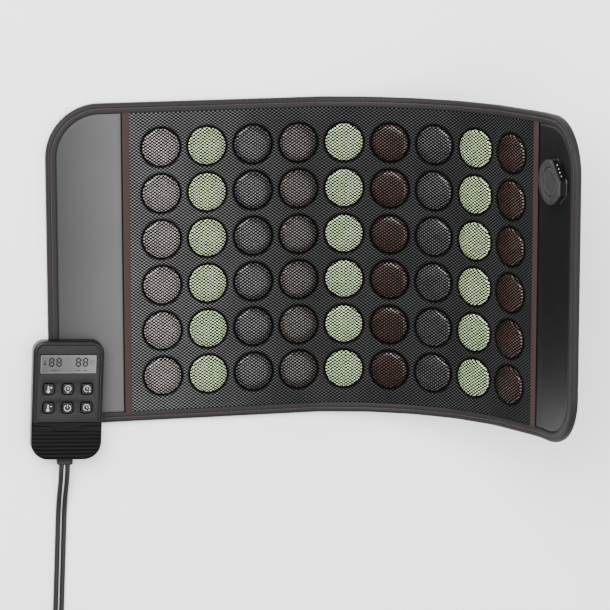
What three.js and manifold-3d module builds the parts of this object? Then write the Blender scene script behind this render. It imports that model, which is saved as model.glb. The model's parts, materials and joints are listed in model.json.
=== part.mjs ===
// Far-infrared warming mat: stone discs under a mesh cover, two leather end panels, a magnetic
// socket on the right end, and a wired hand controller with a mains lead and a mat lead.
// Millimetres, +Z up. The mat lies on the floor, flat at its left end and curled up at its right.
// The origin is the middle of the left end panel's underside.
import * as THREE from 'three';
import { mergeVertices } from 'three/addons/utils/BufferGeometryUtils.js';
import Module from 'manifold-3d';

// Driving dimensions
const GAP = 0.3;                      // clearance between pieces that touch
const COLUMNS = 9;
const ROWS = 6;
const PITCH = 50;                     // stone spacing, along and across
const MAT_HALF = 174;                 // half the mat's width across the columns
const PANEL_LENGTH = 82;              // leather end panel, from its seam to the outer edge
const SEAM_MARGIN = 17;               // ribbon and mesh between an outer column and its seam
const CORNER_R = 58;
const BINDING = 11;                   // width of the sewn edge binding
const HINGE_Z = 6;                    // height of the fold lines above the mat's underside
const PAD_TOP = -1;                   // the local heights below are measured from the fold lines
const BINDING_TOP = 2;
const COVER_TOP = 2;
const RIBBON_WIDTH = 7.5;
const RIBBON_TOP = 1.6;
const STONE_R = 20;
const STONE_TOP = 4;
const STRIP_HALF = 160;               // heating strip under a row of stones
const MESH_HALF = 162.6;
const MESH_TOP = 5.1;
const MESH_SKIN = 0.8;
const FOLD_LIMIT = 25;                // most that two neighbouring segments fold, degrees
const REST_FOLDS = [0, 0, 0, 0, 14, 11, 11, 12.5, 13, 15];   // fold at each line as the mat lies

const SOCKET_AT = [38, 106];          // on the right end panel, from its seam and mid-height
const SOCKET_R = 23.5;
const SOCKET_HEIGHT = 10;
const CAP_R = 15.2;
const CAP_POCKET = 2;
const PIN_COUNT = 4;
const PIN_PITCH = 4.6;
const PIN_R = 0.9;

const CASE_AT = [-24, -143, 8.4];     // middle of the controller's underside
const CASE = { width: 76, length: 130, height: 18, split: 9, wall: 2, top: 12.5, bottom: 19 };
const LCD = { y: 40, width: 60, height: 19.5 };
const KEY = { size: 12, radius: 3, columns: [-20.5, 0, 20.5], rows: [13, -7.5] };
const GRIP_TOP = -24;                 // where the ribbed grip starts below the keys
const GRIP_RIBS = 7;
const RIB_PITCH = 4.1;
const SCREWS = [[-29.5, 56], [29.5, 56], [-28, -54], [28, -54]];
const RELIEF = { width: 18, height: 8, outside: 7, inside: 10, axis: 9 };

const CORD_R = 2.75;
const CORD_SIDES = 8;
const FLOOR_CORD = CORD_R + 0.2;      // height of a cord's axis where it lies on the floor
const CORD_OFFSET = 3.4;              // each lead's axis from the controller's middle
const COIL_Y = -432;
const CASE_TURN = THREE.MathUtils.degToRad(-2.5);   // the controller lies a little askew
const MAINS_COIL = { side: -1, inner: 22, outer: 38.5, height: 16.5 };
const MAT_COIL = { side: 1, inner: 24.75, outer: 35.75, height: 11 };
const PLUG_AXIS = 8.25;
const HEAD_AXIS = 6;

const wasm = await Module();
wasm.setup();

const FABRIC_BLACK = new THREE.MeshStandardMaterial({ color: 0x222222, roughness: 0.95 });
const MESH_BLACK = new THREE.MeshStandardMaterial({ color: 0x101010, roughness: 0.8 });
const LEATHER_GREY = new THREE.MeshStandardMaterial({ color: 0x6f6f6f, roughness: 0.55 });
const LEATHER_BLACK = new THREE.MeshStandardMaterial({ color: 0x242424, roughness: 0.4 });
const RIBBON_BROWN = new THREE.MeshStandardMaterial({ color: 0x584642, roughness: 0.9 });
const STONE_BROWN = new THREE.MeshStandardMaterial({ color: 0x4a332c, roughness: 0.4 });
const STONE_GREEN = new THREE.MeshStandardMaterial({ color: 0xb9cfa2, roughness: 0.35 });
const STONE_GREY = new THREE.MeshStandardMaterial({ color: 0x3a3a3c, roughness: 0.4 });
const PLASTIC_GREY = new THREE.MeshStandardMaterial({ color: 0x6a6a6a, roughness: 0.45 });
const PLASTIC_BLACK = new THREE.MeshStandardMaterial({ color: 0x1a1a1a, roughness: 0.4 });
const PLASTIC_DARK = new THREE.MeshStandardMaterial({ color: 0x343434, roughness: 0.5 });
const RUBBER_BLACK = new THREE.MeshStandardMaterial({ color: 0x262626, roughness: 0.75 });
const LENS_GREY = new THREE.MeshStandardMaterial({ color: 0x8c8c8c, roughness: 0.15 });
const BOARD_GREEN = new THREE.MeshStandardMaterial({ color: 0x1f5a38, roughness: 0.6 });
const STEEL = new THREE.MeshStandardMaterial({ color: 0xc8c8cc, roughness: 0.3, metalness: 1 });

const STONE_ORDER = [STONE_BROWN, STONE_GREEN, STONE_GREY, STONE_BROWN, STONE_GREEN,
  STONE_BROWN, STONE_GREY, STONE_GREEN, STONE_BROWN];

// Closed three.js geometry to a solid, and back
function toSolid(geometry) {
  const bare = geometry.clone();
  bare.deleteAttribute('normal');
  bare.deleteAttribute('uv');
  const merged = mergeVertices(bare, 1e-4);
  return new wasm.Manifold(new wasm.Mesh({
    numProp: 3,
    vertProperties: new Float32Array(merged.attributes.position.array),
    triVerts: new Uint32Array(merged.index.array),
  }));
}

function toGeometry(solid) {
  const data = solid.getMesh();
  const geometry = new THREE.BufferGeometry();
  geometry.setAttribute('position', new THREE.BufferAttribute(data.vertProperties, 3));
  geometry.setIndex(new THREE.BufferAttribute(data.triVerts, 1));
  geometry.computeVertexNormals();
  return geometry;
}

// Primitive solids
function box(x0, x1, y0, y1, z0, z1) {
  const geometry = new THREE.BoxGeometry(x1 - x0, y1 - y0, z1 - z0);
  geometry.translate((x0 + x1) / 2, (y0 + y1) / 2, (z0 + z1) / 2);
  return toSolid(geometry);
}

function slab(points, z0, z1) {
  const shape = new THREE.Shape(points.map(([x, y]) => new THREE.Vector2(x, y)));
  const geometry = new THREE.ExtrudeGeometry(shape, { depth: z1 - z0, bevelEnabled: false });
  geometry.translate(0, 0, z0);
  return toSolid(geometry);
}

function turned(profile, x, y, segments) {
  const points = profile.map(([r, z]) => new THREE.Vector2(r, z));
  const geometry = new THREE.LatheGeometry(points, segments);
  geometry.rotateX(Math.PI / 2);
  geometry.translate(x, y, 0);
  return toSolid(geometry);
}

function disc(r, x, y, z0, z1, segments = 16) {
  return turned([[0, z0], [r, z0], [r, z1], [0, z1]], x, y, segments);
}

// A (y, z) section carried along X, and an (x, z) section carried along Y
function alongX(section, x0, x1) {
  const shape = new THREE.Shape(section.map(([y, z]) => new THREE.Vector2(y, z)));
  const geometry = new THREE.ExtrudeGeometry(shape, { depth: x1 - x0, bevelEnabled: false });
  const [ex, ey, ez] = [0, 1, 2].map((axis) => new THREE.Vector3().setComponent(axis, 1));
  geometry.applyMatrix4(new THREE.Matrix4().makeBasis(ey, ez, ex));
  geometry.translate(x0, 0, 0);
  return toSolid(geometry);
}

function alongY(section, y0, y1) {
  const shape = new THREE.Shape(section.map(([x, z]) => new THREE.Vector2(x, z)));
  const geometry = new THREE.ExtrudeGeometry(shape, { depth: y1 - y0, bevelEnabled: false });
  geometry.rotateX(Math.PI / 2);
  geometry.translate(0, y1, 0);
  return toSolid(geometry);
}

// Points of a rounded rectangle, counterclockwise, with a radius for each pair of corners
function rounded(width, length, topR, bottomR, steps = 6) {
  const corners = [
    [width / 2 - topR, length / 2 - topR, topR, 0],
    [-width / 2 + topR, length / 2 - topR, topR, 90],
    [-width / 2 + bottomR, -length / 2 + bottomR, bottomR, 180],
    [width / 2 - bottomR, -length / 2 + bottomR, bottomR, 270],
  ];
  const points = [];
  for (const [x, y, r, start] of corners) {
    for (let i = 0; i <= steps; i++) {
      const a = THREE.MathUtils.degToRad(start + (90 * i) / steps);
      points.push([x + r * Math.cos(a), y + r * Math.sin(a)]);
    }
  }
  return points;
}

function meshOf(name, solid, material) {
  const mesh = new THREE.Mesh(toGeometry(solid), material);
  mesh.name = name;
  return mesh;
}

// The room that a mat segment may fill between its fold lines. Above the fold lines the sides
// lean back, so two neighbours folded to the limit don't touch.
function segmentRoom(x0, x1) {
  const side = 0.2;
  const top = 8;
  const lean = top * Math.tan(THREE.MathUtils.degToRad(FOLD_LIMIT / 2 + 0.3));
  const section = [
    [x0 + side, -HINGE_Z - 1],
    [x1 - side, -HINGE_Z - 1],
    [x1 - side, 0],
    [x1 - side - lean, top],
    [x0 + side + lean, top],
    [x0 + side, 0],
  ];
  return alongY(section, -MAT_HALF - 5, MAT_HALF + 5);
}

// Segments of the mat: x runs from a segment's own left fold line
function columnMeshes(index) {
  const number = index + 1;
  const left = index === 0 ? SEAM_MARGIN : 0;
  const right = index === COLUMNS - 1 ? SEAM_MARGIN : 0;
  const length = PITCH + left + right;
  const room = segmentRoom(0, length);
  const ribbonRoom = RIBBON_WIDTH + 0.5;

  const padSection = [
    [-MAT_HALF + 1.5, -HINGE_Z], [MAT_HALF - 1.5, -HINGE_Z], [MAT_HALF, -HINGE_Z + 1.5],
    [MAT_HALF, BINDING_TOP - 1.5], [MAT_HALF - 1.5, BINDING_TOP],
    [MAT_HALF - BINDING, BINDING_TOP], [MAT_HALF - BINDING, PAD_TOP],
    [-MAT_HALF + BINDING, PAD_TOP], [-MAT_HALF + BINDING, BINDING_TOP],
    [-MAT_HALF + 1.5, BINDING_TOP], [-MAT_HALF, BINDING_TOP - 1.5], [-MAT_HALF, -HINGE_Z + 1.5],
  ];
  const pad = alongX(padSection, 0, length).intersect(room);

  const middle = left + PITCH / 2;
  let stones = box(middle - 23.5, middle + 23.5, -STRIP_HALF, STRIP_HALF, PAD_TOP + GAP, 0);
  for (let row = 0; row < ROWS; row++) {
    const y = (row - (ROWS - 1) / 2) * PITCH;
    const profile = [[0, -0.2], [STONE_R, -0.2], [STONE_R, STONE_TOP - 1.4],
      [STONE_R - 1.6, STONE_TOP], [0, STONE_TOP]];
    stones = stones.add(turned(profile, middle, y, 16));
  }

  const meshInner = MESH_HALF - MESH_SKIN;
  const meshSection = [
    [-MESH_HALF, PAD_TOP + GAP], [-meshInner, PAD_TOP + GAP], [-meshInner, MESH_TOP - MESH_SKIN],
    [meshInner, MESH_TOP - MESH_SKIN], [meshInner, PAD_TOP + GAP], [MESH_HALF, PAD_TOP + GAP],
    [MESH_HALF, MESH_TOP], [-MESH_HALF, MESH_TOP],
  ];
  const meshLeft = left > 0 ? ribbonRoom + GAP : 0;
  const meshRight = right > 0 ? length - ribbonRoom - GAP : length;
  const cover = alongX(meshSection, meshLeft, meshRight).intersect(room);

  const meshes = [
    meshOf(`column_pad_${number}`, pad, FABRIC_BLACK),
    meshOf(`stone_row_${number}`, stones, STONE_ORDER[index]),
    meshOf(`mesh_strip_${number}`, cover, MESH_BLACK),
  ];
  if (left > 0 || right > 0) {
    const x0 = left > 0 ? 0.5 : length - ribbonRoom;
    const half = MAT_HALF - BINDING - GAP;
    const ribbon = box(x0, x0 + RIBBON_WIDTH, -half, half, PAD_TOP + GAP, RIBBON_TOP);
    meshes.push(meshOf(left > 0 ? 'ribbon_left' : 'ribbon_right', ribbon.intersect(room), RIBBON_BROWN));
  }
  return { meshes, length };
}

// An end panel from its seam at x = 0 out to side * PANEL_LENGTH, drawn in by an inset
function panelOutline(side, inset) {
  const r = CORNER_R - inset;
  const cx = PANEL_LENGTH - CORNER_R;
  const cy = MAT_HALF - CORNER_R;
  const points = [[0, -MAT_HALF + inset]];
  for (const [y, start] of [[-cy, -90], [cy, 0]]) {
    for (let i = 0; i <= 10; i++) {
      const a = THREE.MathUtils.degToRad(start + 9 * i);
      points.push([side * (cx + r * Math.cos(a)), y + r * Math.sin(a)]);
    }
  }
  points.push([0, MAT_HALF - inset]);
  return points;
}

function panelMeshes(side, word, leather) {
  const room = side > 0 ? segmentRoom(0, PANEL_LENGTH + 20) : segmentRoom(-PANEL_LENGTH - 20, 0);
  const base = slab(panelOutline(side, 0), -HINGE_Z, -0.2);
  const rim = slab(panelOutline(side, 0), -1, BINDING_TOP);
  const inside = slab(panelOutline(side, BINDING), -0.2, BINDING_TOP + 1);
  const pad = base.add(rim.subtract(inside)).intersect(room);
  const cover = slab(panelOutline(side, BINDING + GAP), GAP - 0.2, COVER_TOP).intersect(room);
  return [
    meshOf(`${word}_pad`, pad, FABRIC_BLACK),
    meshOf(`${word}_cover`, cover, leather),
  ];
}

// Socket for the mat lead: round on one side, with three flats on the other
function socketMeshes() {
  const [cx, cy] = SOCKET_AT;
  const outline = [];
  for (let i = 0; i <= 12; i++) {
    const a = THREE.MathUtils.degToRad(78 + (214 * i) / 12);
    outline.push([cx + SOCKET_R * Math.cos(a), cy + SOCKET_R * Math.sin(a)]);
  }
  outline.push([cx + 22.5, cy - 11], [cx + 22.5, cy + 3]);
  const z0 = COVER_TOP + GAP;
  const z1 = COVER_TOP + SOCKET_HEIGHT;
  const pocket = disc(CAP_R + GAP, cx, cy, z1 - CAP_POCKET, z1 + 1, 20);
  const body = slab(outline, z0, z1).subtract(pocket);
  const cap = disc(CAP_R, cx, cy, z1 - CAP_POCKET + GAP, z1 - 0.4, 20);

  // The contact strip stands on the upper flat, between the outline's first and last points
  const start = new THREE.Vector2(...outline[0]);
  const end = new THREE.Vector2(...outline[outline.length - 1]);
  const along = end.clone().sub(start).normalize();
  const out = new THREE.Vector2(-along.y, along.x);
  const middle = start.clone().add(end).multiplyScalar(0.5);
  if (out.dot(new THREE.Vector2(cx, cy).sub(middle)) > 0) {
    out.negate();
  }
  const at = (s, o) => [middle.x + along.x * s + out.x * o, middle.y + along.y * s + out.y * o];
  const half = (PIN_COUNT * PIN_PITCH) / 2;
  const strip = [at(-half, GAP), at(half, GAP), at(half, 1.5), at(-half, 1.5)];
  let contacts = slab(strip, z0 + 1, z1 - 1.5);
  for (let i = 0; i < PIN_COUNT; i++) {
    const s = (i - (PIN_COUNT - 1) / 2) * PIN_PITCH;
    const pin = [at(s - PIN_R, 1.4), at(s + PIN_R, 1.4), at(s + PIN_R, 2.1), at(s - PIN_R, 2.1)];
    contacts = contacts.add(slab(pin, z0 + 3, z0 + 3 + 2 * PIN_R));
  }
  return [
    meshOf('socket_body', body, PLASTIC_GREY),
    meshOf('socket_cap', cap, PLASTIC_GREY),
    meshOf('socket_contacts', contacts, STEEL),
  ];
}

// The mat: each segment's group hangs on the one before it at a fold line
function buildMat() {
  const mat = new THREE.Group();
  mat.position.set(PANEL_LENGTH / 2, 0, HINGE_Z);
  mat.add(...panelMeshes(-1, 'left', LEATHER_GREY));
  let parent = mat;
  let reach = 0;
  for (let index = 0; index <= COLUMNS; index++) {
    const segment = new THREE.Group();
    segment.position.x = reach;
    segment.rotation.y = -THREE.MathUtils.degToRad(REST_FOLDS[index]);
    if (index < COLUMNS) {
      const { meshes, length } = columnMeshes(index);
      segment.add(...meshes);
      reach = length;
    } else {
      segment.add(...panelMeshes(1, 'right', LEATHER_BLACK), ...socketMeshes());
    }
    parent.add(segment);
    parent = segment;
  }
  return mat;
}

// Hand controller, from the middle of its underside: +Y is its display end
function caseOutline(inset) {
  return rounded(CASE.width - 2 * inset, CASE.length - 2 * inset, CASE.top - inset, CASE.bottom - inset);
}

function reliefNotch() {
  const half = RELIEF.width / 2 + GAP;
  const low = RELIEF.axis - RELIEF.height / 2 - GAP;
  const high = RELIEF.axis + RELIEF.height / 2 + GAP;
  return box(-half, half, -CASE.length / 2 - 1, -CASE.length / 2 + 3, low, high);
}

function rearCase() {
  let shell = slab(caseOutline(0), 0, CASE.split).subtract(slab(caseOutline(CASE.wall), CASE.wall, CASE.split + 1));
  for (const [x, y] of SCREWS) {
    shell = shell.subtract(disc(1.9, x, y, -1, CASE.wall + 1));
    shell = shell.subtract(disc(3.1, x, y, -1, 1.1));
  }
  return shell.subtract(reliefNotch());
}

function frontCase() {
  const z0 = CASE.split + GAP;
  const roof = CASE.height - CASE.wall;
  let shell = slab(caseOutline(0), z0, CASE.height).subtract(slab(caseOutline(CASE.wall), z0 - 1, roof));
  for (const [x, y] of SCREWS) {
    shell = shell.add(disc(3.4, x, y, CASE.wall + GAP, roof + 1));
    shell = shell.subtract(disc(1.8, x, y, CASE.wall, CASE.split + 1));
  }
  const half = LCD.width / 2 + GAP;
  const reach = LCD.height / 2 + GAP;
  shell = shell.subtract(box(-half, half, LCD.y - reach, LCD.y + reach, roof - 1, CASE.height + 1));
  for (const x of KEY.columns) {
    for (const y of KEY.rows) {
      const hole = rounded(KEY.size + 1, KEY.size + 1, KEY.radius + 0.5, KEY.radius + 0.5, 4);
      shell = shell.subtract(slab(hole.map(([px, py]) => [px + x, py + y]), roof - 1, CASE.height + 1));
    }
  }
  // The grip cover sits in a step at the cord end
  const step = slab(caseOutline(1), CASE.height - 1, CASE.height + 1);
  const cordEnd = box(-CASE.width, CASE.width, -CASE.length, GRIP_TOP, CASE.height - 1, CASE.height + 1);
  return shell.subtract(step.intersect(cordEnd)).subtract(reliefNotch());
}

function gripCover() {
  const z0 = CASE.height - 1 + GAP;
  const outline = slab(caseOutline(1 + GAP), z0, CASE.height + 1);
  let cover = outline.intersect(box(-CASE.width, CASE.width, -CASE.length, GRIP_TOP - GAP, z0, CASE.height));
  for (let i = 0; i < GRIP_RIBS; i++) {
    const y = GRIP_TOP - 10 - i * RIB_PITCH;
    const rib = box(-CASE.width, CASE.width, y - 0.9, y + 0.9, CASE.height - 0.3, CASE.height + 0.6);
    cover = cover.add(outline.intersect(rib));
  }
  return cover;
}

function keyMeshes() {
  const names = ['key_warmer', 'key_cooler', 'key_lamp', 'key_power', 'key_longer', 'key_shorter'];
  const keys = [];
  for (const x of KEY.columns) {
    for (const y of KEY.rows) {
      const outline = rounded(KEY.size, KEY.size, KEY.radius, KEY.radius, 4);
      const key = slab(outline.map(([px, py]) => [px + x, py + y]), 13.2, CASE.height + 0.4);
      keys.push(meshOf(names[keys.length], key, PLASTIC_BLACK));
    }
  }
  return keys;
}

function strainRelief() {
  const y0 = -CASE.length / 2 - RELIEF.outside;
  const y1 = -CASE.length / 2 + RELIEF.inside;
  const low = RELIEF.axis - RELIEF.height / 2;
  const high = RELIEF.axis + RELIEF.height / 2;
  const half = RELIEF.width / 2;
  return box(-half, half, y0, y1, low, high);
}

function buildController() {
  const controller = new THREE.Group();
  controller.position.set(...CASE_AT);
  controller.rotation.z = CASE_TURN;
  const lcdHalf = LCD.width / 2;
  const lcdReach = LCD.height / 2;
  const windowPane = box(-lcdHalf, lcdHalf, LCD.y - lcdReach, LCD.y + lcdReach, 16.3, CASE.height - 0.3);
  const lcdPanel = box(-28, 28, LCD.y - 9, LCD.y + 9, 11, 16);
  const board = slab(rounded(58, 94, 2, 2, 3), 9, 10.6);
  const membrane = slab(rounded(58, 38, 3, 3, 3).map(([x, y]) => [x, y + 2.75]), 10.9, 11.9);
  controller.add(
    meshOf('rear_case', rearCase(), PLASTIC_DARK),
    meshOf('front_case', frontCase(), PLASTIC_DARK),
    meshOf('grip_cover', gripCover(), PLASTIC_BLACK),
    meshOf('lcd_window', windowPane, LENS_GREY),
    meshOf('lcd_panel', lcdPanel, PLASTIC_GREY),
    meshOf('circuit_board', board, BOARD_GREEN),
    meshOf('key_membrane', membrane, RUBBER_BLACK),
    meshOf('strain_relief', strainRelief(), RUBBER_BLACK),
    ...keyMeshes(),
  );
  SCREWS.forEach(([x, y], i) => {
    const screw = turned([[0, 0.2], [2.8, 0.2], [2.8, 0.8], [1.5, 0.8], [1.5, 9], [0, 9]], x, y, 12);
    controller.add(meshOf(`case_screw_${i + 1}`, screw, STEEL));
  });
  return controller;
}

// Cords: out of the strain relief, down to the floor and straight away to a coil. Each lies in the
// upright plane of its own exit, on the side that its coil lies on.
function cordRoute(coil) {
  const [cx, cy, cz] = CASE_AT;
  const reach = CASE.length / 2 + RELIEF.outside + GAP;
  const exitX = cx + coil.side * CORD_OFFSET * Math.cos(CASE_TURN) + reach * Math.sin(CASE_TURN);
  const exitY = cy + coil.side * CORD_OFFSET * Math.sin(CASE_TURN) - reach * Math.cos(CASE_TURN);
  const exitZ = cz + RELIEF.axis;
  const whole = exitY - COIL_Y - ringEntry(coil);
  const heights = [
    [0, exitZ],
    [9, exitZ - 0.3],
    [20, exitZ - 3],
    [36, exitZ - 9.6],
    [50, FLOOR_CORD + 1.2],
    [64, FLOOR_CORD],
    [84, FLOOR_CORD],
    [114, FLOOR_CORD],
    [144, FLOOR_CORD],
    [170, FLOOR_CORD],
    [whole, FLOOR_CORD],
  ];
  return heights.map(([s, z]) => [exitX + s * Math.tan(CASE_TURN), exitY - s, z]);
}

// A coil's middle, one ring radius beside the end of its cord
function coilX(coil) {
  return cordRoute(coil).at(-1)[0] + coil.side * (coil.outer - CORD_R);
}

function cordTube(route) {
  const section = new THREE.Shape();
  for (let i = 0; i < CORD_SIDES; i++) {
    const a = (2 * Math.PI * (i + 0.5)) / CORD_SIDES;
    const [x, y] = [CORD_R * Math.cos(a), CORD_R * Math.sin(a)];
    if (i === 0) {
      section.moveTo(x, y);
    } else {
      section.lineTo(x, y);
    }
  }
  const path = new THREE.CatmullRomCurve3(route.map((p) => new THREE.Vector3(...p)));
  return toSolid(new THREE.ExtrudeGeometry(section, { steps: 18, extrudePath: path }));
}

function coilRing(coil) {
  const [r0, r1, z0, z1, c] = [coil.inner, coil.outer, 0.1, coil.height, 1.5];
  const profile = [[r0 + c, z0], [r1 - c, z0], [r1, z0 + c], [r1, z1 - c], [r1 - c, z1],
    [r0 + c, z1], [r0, z1 - c], [r0, z0 + c], [r0 + c, z0]];
  return turned(profile, coilX(coil), COIL_Y, 28);
}

// Where a cord running along a tangent, one cord radius inside the ring's edge, meets the ring
function ringEntry(coil) {
  return Math.sqrt(coil.outer ** 2 - (coil.outer - 2 * CORD_R) ** 2) + GAP;
}

// A plug's neck, widening from the cord's own width along X
function taperedNeck(x0, x1, y, z) {
  const [narrow, wide] = [2.6, 5];
  return slab([[x0, y - narrow], [x0, y + narrow], [x1, y + wide], [x1, y - wide]], z - 3.2, z + 3.2);
}

function mainsPlug() {
  const y = COIL_Y - MAINS_COIL.outer + CORD_R;
  const x0 = coilX(MAINS_COIL) - ringEntry(MAINS_COIL);
  const z = PLUG_AXIS;
  const body = box(x0 - 46, x0 - 13.5, y - 12, y + 12, 0.2, 2 * z);
  let plug = body.add(taperedNeck(x0, x0 - 14, y, z));
  for (const side of [-1, 1]) {
    const by = y + side * 6.35;
    plug = plug.add(box(x0 - 63, x0 - 45, by - 0.75, by + 0.75, z - 3.15, z + 3.15));
  }
  return plug;
}

function magneticHead() {
  const y = COIL_Y - MAT_COIL.outer + CORD_R;
  const x0 = coilX(MAT_COIL) + ringEntry(MAT_COIL);
  const z = HEAD_AXIS;
  const body = box(x0 + 11.5, x0 + 29, y - 12, y + 12, 0.2, 2 * z);
  let head = body.add(taperedNeck(x0, x0 + 12, y, z));
  for (let i = 0; i < PIN_COUNT; i++) {
    const py = y + (i - (PIN_COUNT - 1) / 2) * PIN_PITCH;
    head = head.add(box(x0 + 28, x0 + 29.6, py - PIN_R, py + PIN_R, z - PIN_R, z + PIN_R));
  }
  return head;
}

function buildCords() {
  const cords = new THREE.Group();
  cords.add(
    meshOf('mains_lead', cordTube(cordRoute(MAINS_COIL)), RUBBER_BLACK),
    meshOf('mains_coil', coilRing(MAINS_COIL), RUBBER_BLACK),
    meshOf('mains_plug', mainsPlug(), PLASTIC_BLACK),
    meshOf('mat_lead', cordTube(cordRoute(MAT_COIL)), RUBBER_BLACK),
    meshOf('mat_coil', coilRing(MAT_COIL), RUBBER_BLACK),
    meshOf('magnetic_head', magneticHead(), PLASTIC_GREY),
  );
  return cords;
}

const warmingMat = new THREE.Group();
warmingMat.add(buildMat(), buildController(), buildCords());

export default warmingMat;
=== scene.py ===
"""Far-infrared warming mat: stone discs under a net, two leather end panels, a magnetic socket and
a wired hand controller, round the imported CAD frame.

Lengths below are in millimetres, as in the part's source. make_piece turns them into metres.
A point of the mat is (u, v, h): u along the mat from its left edge as if it were laid flat, v across
it, and h above the sheet of fold lines. on_mat gives its place in the row frame."""
import json
import math

import bpy
import numpy as np
from mathutils import Matrix, Vector
from mathutils.geometry import tessellate_polygon


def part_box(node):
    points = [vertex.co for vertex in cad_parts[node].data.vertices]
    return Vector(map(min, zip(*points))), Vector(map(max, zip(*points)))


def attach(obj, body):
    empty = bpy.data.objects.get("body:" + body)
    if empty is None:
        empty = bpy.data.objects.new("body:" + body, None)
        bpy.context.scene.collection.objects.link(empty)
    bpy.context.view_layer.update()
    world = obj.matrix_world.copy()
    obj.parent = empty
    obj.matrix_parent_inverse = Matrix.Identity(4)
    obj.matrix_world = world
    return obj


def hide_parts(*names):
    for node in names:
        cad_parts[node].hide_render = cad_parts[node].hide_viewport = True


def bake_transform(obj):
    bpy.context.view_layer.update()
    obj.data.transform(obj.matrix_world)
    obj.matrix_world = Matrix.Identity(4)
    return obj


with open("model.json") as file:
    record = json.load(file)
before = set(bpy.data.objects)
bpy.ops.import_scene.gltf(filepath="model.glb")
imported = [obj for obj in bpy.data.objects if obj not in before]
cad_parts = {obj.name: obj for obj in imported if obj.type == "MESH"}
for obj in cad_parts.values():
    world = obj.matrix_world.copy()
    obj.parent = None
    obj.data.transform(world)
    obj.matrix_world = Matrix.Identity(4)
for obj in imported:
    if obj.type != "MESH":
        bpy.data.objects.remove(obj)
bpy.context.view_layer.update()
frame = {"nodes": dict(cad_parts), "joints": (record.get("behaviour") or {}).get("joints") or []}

MM = 0.001

# The mat's own dimensions, as in the part's source
PITCH = 50.0
COLUMNS = 9
ROWS = 6
MAT_HALF = 174.0
CORNER_R = 58.0
BINDING = 11.0
UNDERSIDE = -6.0
PAD_TOP = -1.0


# ---------------------------------------------------------------- meshes from arrays

def enclosed(points, faces):
    """Signed volume inside the faces: each is fanned from its first corner, and the triangles'
    triple products are added up."""
    total = 0.0
    for face in faces:
        first = points[face[:, 0]]
        for k in range(1, face.shape[1] - 1):
            total += np.einsum("ij,ij->", first, np.cross(points[face[:, k]], points[face[:, k + 1]]))
    return total / 6


def make_piece(name, points, faces, finish, uvs=None, sharp=35.0):
    """A mesh piece. faces is a list of index arrays with a face in each row, and uvs is one pair for
    each point, or a list of arrays with one pair for each corner."""
    points = np.asarray(points, float).reshape(-1, 3)
    faces = [np.asarray(face, int) for face in faces]
    if enclosed(points, faces) < 0:
        faces = [face[:, ::-1] for face in faces]
        if isinstance(uvs, list):
            uvs = [uv[:, ::-1] for uv in uvs]
    corners = np.concatenate([face.ravel() for face in faces])
    sizes = np.concatenate([np.full(len(face), face.shape[1]) for face in faces])
    mesh = bpy.data.meshes.new(name)
    mesh.vertices.add(len(points))
    mesh.vertices.foreach_set("co", (points * MM).astype(np.float32).ravel())
    mesh.loops.add(len(corners))
    mesh.loops.foreach_set("vertex_index", corners.astype(np.int32))
    mesh.polygons.add(len(sizes))
    mesh.polygons.foreach_set("loop_start", np.concatenate([[0], np.cumsum(sizes)[:-1]]).astype(np.int32))
    mesh.update(calc_edges=True)
    mesh.validate()
    if uvs is not None:
        pairs = np.concatenate([uv.reshape(-1, 2) for uv in uvs]) if isinstance(uvs, list) else uvs[corners]
        layer = mesh.uv_layers.new(name="UVMap")
        layer.data.foreach_set("uv", pairs.astype(np.float32).ravel())
    mesh.shade_smooth()
    mesh.set_sharp_from_angle(angle=math.radians(sharp))
    mesh.materials.append(finish.material)
    piece = bpy.data.objects.new(name, mesh)
    bpy.context.scene.collection.objects.link(piece)
    return piece


def quads(rows, columns, wrap=False):
    """Faces of a grid of points, whose columns close on themselves if wrap is set."""
    i, j = np.meshgrid(np.arange(rows - 1), np.arange(columns if wrap else columns - 1), indexing="ij")
    i, j = i.ravel(), j.ravel()
    k = (j + 1) % columns
    return np.stack([i * columns + j, (i + 1) * columns + j, (i + 1) * columns + k, i * columns + k], 1)


def joined(parts):
    """Several (points, faces, uvs) as one, with the index arrays moved on."""
    points, faces, uvs, count = [], [], [], 0
    for part_points, part_faces, part_uvs in parts:
        part_points = np.asarray(part_points, float).reshape(-1, 3)
        points.append(part_points)
        faces += [np.asarray(face) + count for face in part_faces]
        uvs += part_uvs
        count += len(part_points)
    return np.concatenate(points), faces, uvs


def swept(loops, along, round_it, closed=False):
    """A closed section carried along a path: loops is (steps, section points, 3). The corner pairs
    hold the distance along the path and the distance round the section. A closed path repeats its
    first section at its end, where the faces go back to the first section's points."""
    steps, count = loops.shape[:2]
    sides = quads(steps, count, wrap=True)
    i, j = sides[:, 0] // count, sides[:, 0] % count
    corner_i = np.stack([i, i + 1, i + 1, i], 1)
    corner_j = np.stack([j, j, j + 1, j + 1], 1)
    uvs = [np.stack([np.asarray(along)[corner_i], np.asarray(round_it)[corner_j]], 2) * MM]
    faces = [sides]
    if closed:
        loops = loops[:-1]
        sides %= (steps - 1) * count
    else:
        ends = np.stack([np.arange(count), np.arange(count)[::-1] + (steps - 1) * count])
        faces.append(ends)
        flat = np.zeros((2, count, 2))
        flat[:, :, 0] = np.array([along[0], along[-1]])[:, None]
        flat[0, :, 1] = np.asarray(round_it)[:count]
        flat[1, :, 1] = np.asarray(round_it)[:count][::-1]
        uvs.append(flat * MM)
    return loops.reshape(-1, 3), faces, uvs


def girth(section):
    """Distance round a closed section at each of its points, and once round at the end."""
    steps = np.linalg.norm(np.roll(section, -1, 0) - section, axis=1)
    return np.concatenate([[0], np.cumsum(steps)])


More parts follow.
